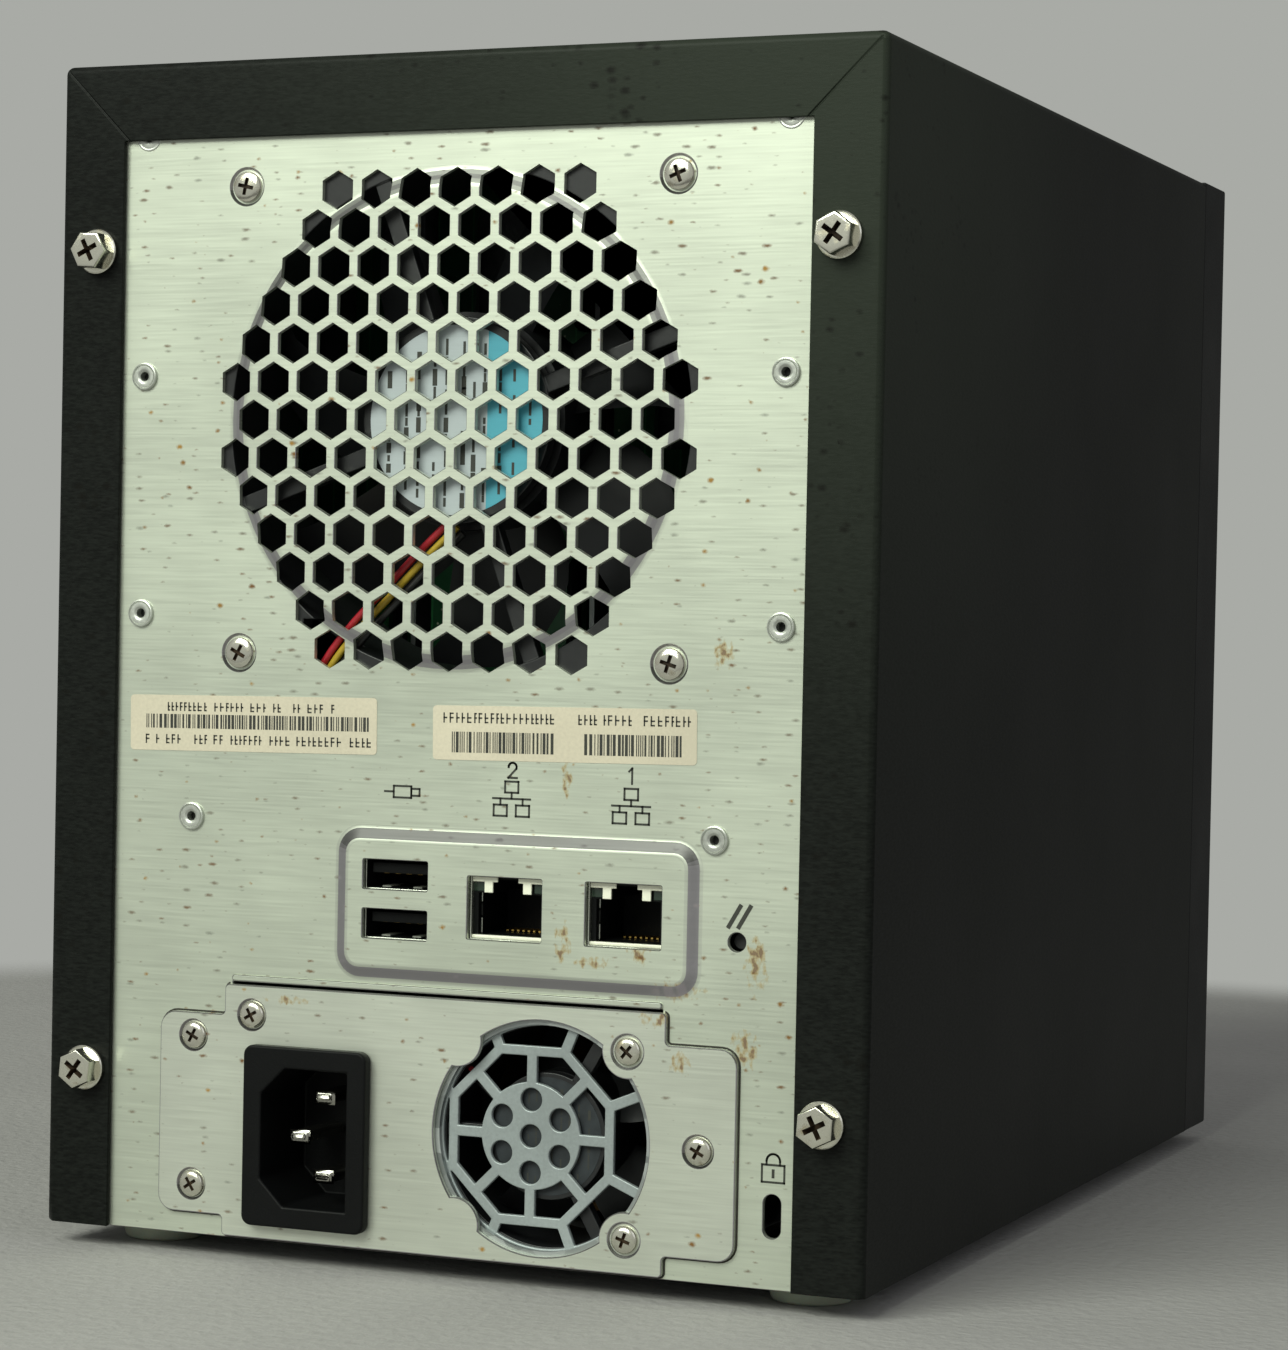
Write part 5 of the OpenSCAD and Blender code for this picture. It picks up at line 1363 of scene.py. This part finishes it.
def greeked_row(bm, chance, u0, u1, v, tall, y, centre):
    """A row of short bars that stands for a line of print."""
    u = u0
    while u < u1:
        wide = chance.uniform(0.35, 0.95)
        if chance.random() < 0.86:
            strokes(bm, [(u, v), (u + wide * 0.6, v)], 0.28, y, 0.02, centre)
            strokes(bm, [(u, v - tall / 2), (u, v + tall / 2)], 0.26, y, 0.02, centre)
            if chance.random() < 0.6:
                side = chance.choice((-1, 1)) * tall / 2
                strokes(bm, [(u, v + side), (u + wide * 0.6, v + side)], 0.26, y, 0.02, centre)
        u += wide + 0.42


def bar_rows(bm, chance, u0, u1, v, tall, y, centre):
    """A run of upright bars of chance widths, as on a bar code, which says nothing."""
    u = u0
    while u < u1:
        wide = chance.choice((0.18, 0.18, 0.36, 0.54))
        middle_u, reach = u + wide / 2, tall / 2 - wide / 2
        strokes(bm, [(middle_u, v - reach), (middle_u, v + reach)], wide, y, 0.02, centre)
        u += wide + chance.choice((0.2, 0.2, 0.4))


def sticker(centre, size, turn, seed, blocks):
    """A paper label with greeked print: each block has its start, its end and the rows that it holds."""
    chance = random.Random(seed)
    y = FACE_Y + 0.09 * MM
    bm = tablet((size[0] * MM, size[1] * MM), 0.7 * MM, FACE_Y, y, (centre[0] * MM, centre[1] * MM), 4)
    ink = bmesh.new()
    for u0, u1, rows in blocks:
        for kind, v, tall in rows:
            draw = bar_rows if kind == "bars" else greeked_row
            draw(ink, chance, u0, u1, v, tall, y, centre)
    stamp(bm, ink, index=1)
    place = Matrix.Translation((centre[0] * MM, 0, centre[1] * MM))
    bm.transform(place @ Matrix.Rotation(math.radians(turn), 4, "Y") @ place.inverted())
    return bm


class LOOKS_OT_labels(bpy.types.Operator):
    """Sticks the two paper labels on the rear panel."""

    bl_idname = "looks.labels"
    bl_label = "Labels"

    def execute(self, context):
        one = sticker((38.35, 95.45), (49.5, 9.9), 0.8, 31, [
            (-17, 17, [("print", 2.9, 1.3)]), (-21.5, 23, [("bars", 0.3, 2.5), ("print", -2.9, 1.4)]),
        ])
        two = sticker((-21.95, 95.5), (49.3, 9.4), 0.8, 37, [
            (-22.5, -1.5, [("print", 2.6, 1.5)]), (3, 23.5, [("print", 2.6, 1.5)]),
            (-21, -2, [("bars", -1.6, 3.6)]), (4, 22, [("bars", -1.6, 3.6)]),
        ])
        piece(joined(one, two), "paper_labels", "chassis", ["label paper", "ink"])
        return {"FINISHED"}


class LOOKS_OT_marks(bpy.types.Operator):
    """Prints the plain marks beside the sockets: numbers, a plug, networks, a slash pair and a padlock."""

    bl_idname = "looks.marks"
    bl_label = "Printed marks"

    def execute(self, context):
        bm = bmesh.new()
        fine, y = 0.36, FACE_Y

        def line(points, centre, width=fine):
            strokes(bm, points, width, y, 0.04, centre)

        plug = (8.2, 84.6)
        line(outline(3.4, 2.0, (-0.2, 0)), plug)
        line(outline(1.6, 1.2, (2.3, 0)), plug)
        line([(-1.9, 0), (-3.6, 0)], plug)
        for centre in ((-12.5, 84.2), (-34.8, 83.8)):
            line(outline(2.5, 1.9, (0, 2.0)), centre)
            line([(0, 1.05), (0, 0)], centre)
            line([(-3.5, 0), (3.5, 0)], centre)
            for side in (-1, 1):
                line([(side * 2.1, 0), (side * 2.1, -1.1)], centre)
                line(outline(2.5, 1.9, (side * 2.1, -2.05)), centre)
        two = [(-0.75, 0.75)] + arc(0.75, 180, -20, (0, 0.55), 8) + [(-0.8, -1.3), (0.85, -1.3)]
        line(two, (-12.6, 89.1))
        line([(-0.45, 0.8), (0.1, 1.3), (0.1, -1.3)], (-34.8, 88.9))
        for shift in (-0.9, 0.9):
            line([(shift - 1.0, -1.7), (shift + 1.0, 1.7)], (-54.9, 66.1), 0.75)
        lock = (-61.8, 24.4)
        line(outline(4.0, 2.9, (0, -0.9)), lock)
        line([(-1.2, 0.6)] + arc(1.2, 180, 0, (0, 1.2)) + [(1.2, 0.6)], lock)
        line([(0, -0.4), (0, -1.4)], lock, 0.5)
        piece(bm, "printed_marks", "chassis", "ink")
        return {"FINISHED"}


# ---- the rest of the box ----

# CAD nodes whose shape is right: their edges are softened and they take a finish
SOFTENED = [
    ("feet", "foot", "foot_rubber", 0.6), ("front_bezel", "bezel plastic", "bezel_plastic", 0.35),
    ("front_frame", "galvanised", "inner_steel", 0.12), ("base_pan", "galvanised", "inner_steel", 0.12),
    ("light_pipes", "clear plastic", "light_clear", 0.15),
    ("processor_heatsink", "aluminium", "heatsink_aluminium", 0.12),
]
# CAD nodes inside the case, which take a finish as they are
KEPT = {
    "galvanised": ["side_plate_left", "side_plate_right", "drive_cage", "board_tray", "psu_case", "psu_lid"],
    "epoxy": ["cage_guides", "backplane_connectors"],
    "green board": ["backplane", "main_board", "front_board"],
    "brass": ["board_standoffs"],
    "nickel": ["board_screws"] + [f"tray_screws_{k}" for k in range(1, 5)],
    "spring steel": ["power_button_spring"],
}


def sorted_parts(node, name, body, finishes, pick, width=0.2):
    """A softened CAD node whose loose solids take different finishes, picked by their low and high corners."""
    bm = cad_copy(node)
    for shell in islands(bm):
        index = pick(*corners(shell))
        for vert in shell:
            for face in vert.link_faces:
                face.material_index = index
    rounded_edges(bm, width * MM, 35, 1)
    return piece(bm, name, body, finishes, [node], 35)


class LOOKS_OT_shell(bpy.types.Operator):
    """Finishes the feet, the bezel, the front frame and the sheets and boards inside."""

    bl_idname = "looks.shell"
    bl_label = "Feet, bezel and insides"

    def execute(self, context):
        for node, look, slot, width in SOFTENED:
            softened(node, "chassis", look, width)
        for look, nodes in KEPT.items():
            for node in nodes:
                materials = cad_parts[node].data.materials
                materials.clear()
                materials.append(finish(look))
        softened("power_button", "power_key", "button plastic", 0.5, segments=3)
        sorted_parts("board_parts", "board_parts_finish", "chassis", ["epoxy", "sleeve blue", "ivory plastic"],
                     lambda a, b: 0 if b.z - a.z < 4 * MM else 1 if b.x - a.x < 7 * MM else 2)
        sorted_parts("memory_module", "memory_module_finish", "chassis", ["green board", "epoxy"],
                     lambda a, b: 1 if b.x - a.x < 12 * MM else 0)
        looks = ["paper board", "tape yellow", "sleeve blue", "aluminium", "copper wire"]

        def part_kind(low, high):
            size = high - low
            if size.x > 50 * MM:
                return 0
            if size.x < 4 * MM:
                return 3
            if size.z > 25 * MM:
                return 2
            return 4 if size.z < 15 * MM else 1

        sorted_parts("psu_electronics", "supply_electronics_finish", "chassis", looks, part_kind)
        return {"FINISHED"}


class LOOKS_OT_bays(bpy.types.Operator):
    """Finishes the four trays, their levers and drives."""

    bl_idname = "looks.bays"
    bl_label = "Trays and drives"

    def execute(self, context):
        for k in range(1, 5):
            softened(f"tray_frame_{k}", f"tray_{k}", "tray plastic", 0.35)
            softened(f"tray_lever_{k}", f"lever_{k}", "lever plastic", 0.4)
            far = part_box(f"drive_{k}")

            def drive_part(low, high):
                if high.x - low.x > 5 * MM:
                    return 0
                return 1 if high.x > far[1].x - 0.1 * MM else 2

            sorted_parts(f"drive_{k}", f"drive_{k}_finish", f"tray_{k}",
                         ["cast aluminium", "stainless lid", "green board"], drive_part, 0.4)
        return {"FINISHED"}


# ---- the stage ----

class LOOKS_OT_camera(bpy.types.Operator):
    """Sets up the camera."""

    bl_idname = "looks.camera"
    bl_label = "Camera"

    def execute(self, context):
        stage = settings().stage
        rise, turn = stage.elevation, stage.azimuth
        away = Vector((math.sin(turn) * math.cos(rise), -math.cos(turn) * math.cos(rise), math.sin(rise)))
        lens = bpy.data.cameras.new("camera")
        lens.lens = stage.lens
        lens.clip_start = 0.01
        camera = linked("camera", lens)
        look = (-away).to_track_quat("-Z", "Y").to_matrix().to_4x4() @ Matrix.Rotation(stage.roll, 4, "Z")
        camera.matrix_world = Matrix.Translation(Vector(stage.aim) + away * stage.distance) @ look
        context.scene.camera = camera
        return {"FINISHED"}


def lamp(name, place, aim, size, watts, tint):
    """A square soft lamp that faces a point. Places and size are in metres."""
    light = bpy.data.lights.new(name, "AREA")
    light.shape = "RECTANGLE"
    light.size, light.size_y = size
    light.energy = watts
    light.color = linear(tint)[:3]
    holder = linked(name, light)
    facing = (Vector(aim) - Vector(place)).to_track_quat("-Z", "Y").to_matrix().to_4x4()
    holder.matrix_world = Matrix.Translation(place) @ facing


def cloth_floor():
    """Brushed cotton cloth: pale and matt with a soft nap, fading out at the disc's edge."""
    material, tree, shader, place = surface("brushed_cotton_cloth", ("stage", "floor_colour"), 0.95)
    nap = grain(tree, place, 2.2, detail=5.0)
    folds = grain(tree, place, 60, detail=2.0, seed=3.0)
    mixed = weighed(tree, folds, 0.5, nap, 0.5)
    feed(shader, "Base Color", tones_of(tree, mixed, shader.inputs["Base Color"].default_value, 0.93, 1.05))
    roughen(shader, nap, 0.6, 0.8)
    spread = add(tree, "VectorMath", {0: place}, 1, operation="LENGTH")
    edge = ranged(tree, spread, 0.40, 0.47, 1.0, 0.0, interpolation_type="SMOOTHSTEP")
    feed(shader, "Alpha", edge)
    return material


class LOOKS_OT_stage(bpy.types.Operator):
    """Lays the floor cloth and sets the lamps and the wall's colour."""

    bl_idname = "looks.stage"
    bl_label = "Stage"

    def execute(self, context):
        stage = settings().stage
        bm = bmesh.new()
        bmesh.ops.create_circle(bm, cap_ends=True, segments=96, radius=0.48)
        floor = linked("floor", mesh_of(bm, "floor"))
        floor.data.materials.append(cloth_floor())
        world = bpy.data.worlds.new("soft_room")
        world.use_nodes = True
        tree = world.node_tree
        rays = add(tree, "LightPath")
        seen = rays
        for name in ("Is Glossy Ray", "Is Transmission Ray"):
            seen = maths(tree, "MAXIMUM", seen, rays.node.outputs[name])
        direction = add(tree, "TexCoord", out="Generated")
        height = add(tree, "SeparateXYZ", {0: direction}, 2)
        # The room is dim beyond the box's front, which only its glossy sides show
        beyond = ranged(tree, height.node.outputs[1], -0.3, 0.25, 0.62, 0.0)
        beyond = maths(tree, "MULTIPLY", beyond, rays.node.outputs["Is Glossy Ray"])
        bright = maths(tree, "SUBTRACT", 1.0, beyond)
        level = ranged(tree, height, -0.45, -0.12, interpolation_type="SMOOTHSTEP")
        wall = blend(tree, level, linear("#5c5b58"), tuple(stage.wall_colour))
        ambient = add(tree, "Background", {"Color": linear("#e6e9e4"), "Strength": 0.38})
        plain = add(tree, "Background", {"Color": wall, "Strength": bright})
        mixed = add(tree, "MixShader", {0: seen, 1: ambient, 2: plain})
        tree.links.new(mixed, tree.nodes["World Output"].inputs["Surface"])
        tree.nodes.remove(tree.nodes["Background"])
        context.scene.world = world
        aim = (0, 0.05, 0.12)
        lamp("window_softbox", (0.34, 1.35, 1.05), aim, (1.1, 0.8), 26, "#f8fff0")
        lamp("room_fill", (-1.3, 0.5, 0.9), aim, (1.2, 1.2), 2, "#f1f3ff")
        context.scene.view_settings.view_transform = "Standard"
        return {"FINISHED"}


class LOOKS_PT_box(bpy.types.Panel):
    """Lists the pieces and their settings."""

    bl_idname = "LOOKS_PT_box"
    bl_label = "Storage box"
    bl_space_type = "VIEW_3D"
    bl_region_type = "UI"
    bl_category = "Storage box"

    def draw(self, context):
        box = context.scene.storage_box
        for group in (box.case, box.fans, box.front, box.stage):
            column = self.layout.column(align=True)
            for name in group.__annotations__:
                column.prop(group, name)
        for operator in OPERATORS:
            self.layout.operator(operator.bl_idname)


OPERATORS = (
    LOOKS_OT_camera, LOOKS_OT_stage, LOOKS_OT_cover, LOOKS_OT_panel, LOOKS_OT_supply, LOOKS_OT_sockets,
    LOOKS_OT_rear_fan, LOOKS_OT_supply_fan, LOOKS_OT_labels, LOOKS_OT_marks, LOOKS_OT_shell, LOOKS_OT_bays,
)
CLASSES = (CaseSettings, FanSettings, FrontSettings, StageSettings, BoxSettings, *OPERATORS, LOOKS_PT_box)


def register():
    """Makes the settings, operators and panel known."""
    for made in CLASSES:
        bpy.utils.register_class(made)
    bpy.types.Scene.storage_box = PointerProperty(type=BoxSettings)


def unregister():
    """Takes them away again."""
    del bpy.types.Scene.storage_box
    for made in reversed(CLASSES):
        bpy.utils.unregister_class(made)


def main():
    """Builds everything in order."""
    register()
    for operator in OPERATORS:
        group, name = operator.bl_idname.split(".")
        getattr(getattr(bpy.ops, group), name)()


if __name__ == "__main__":
    main()
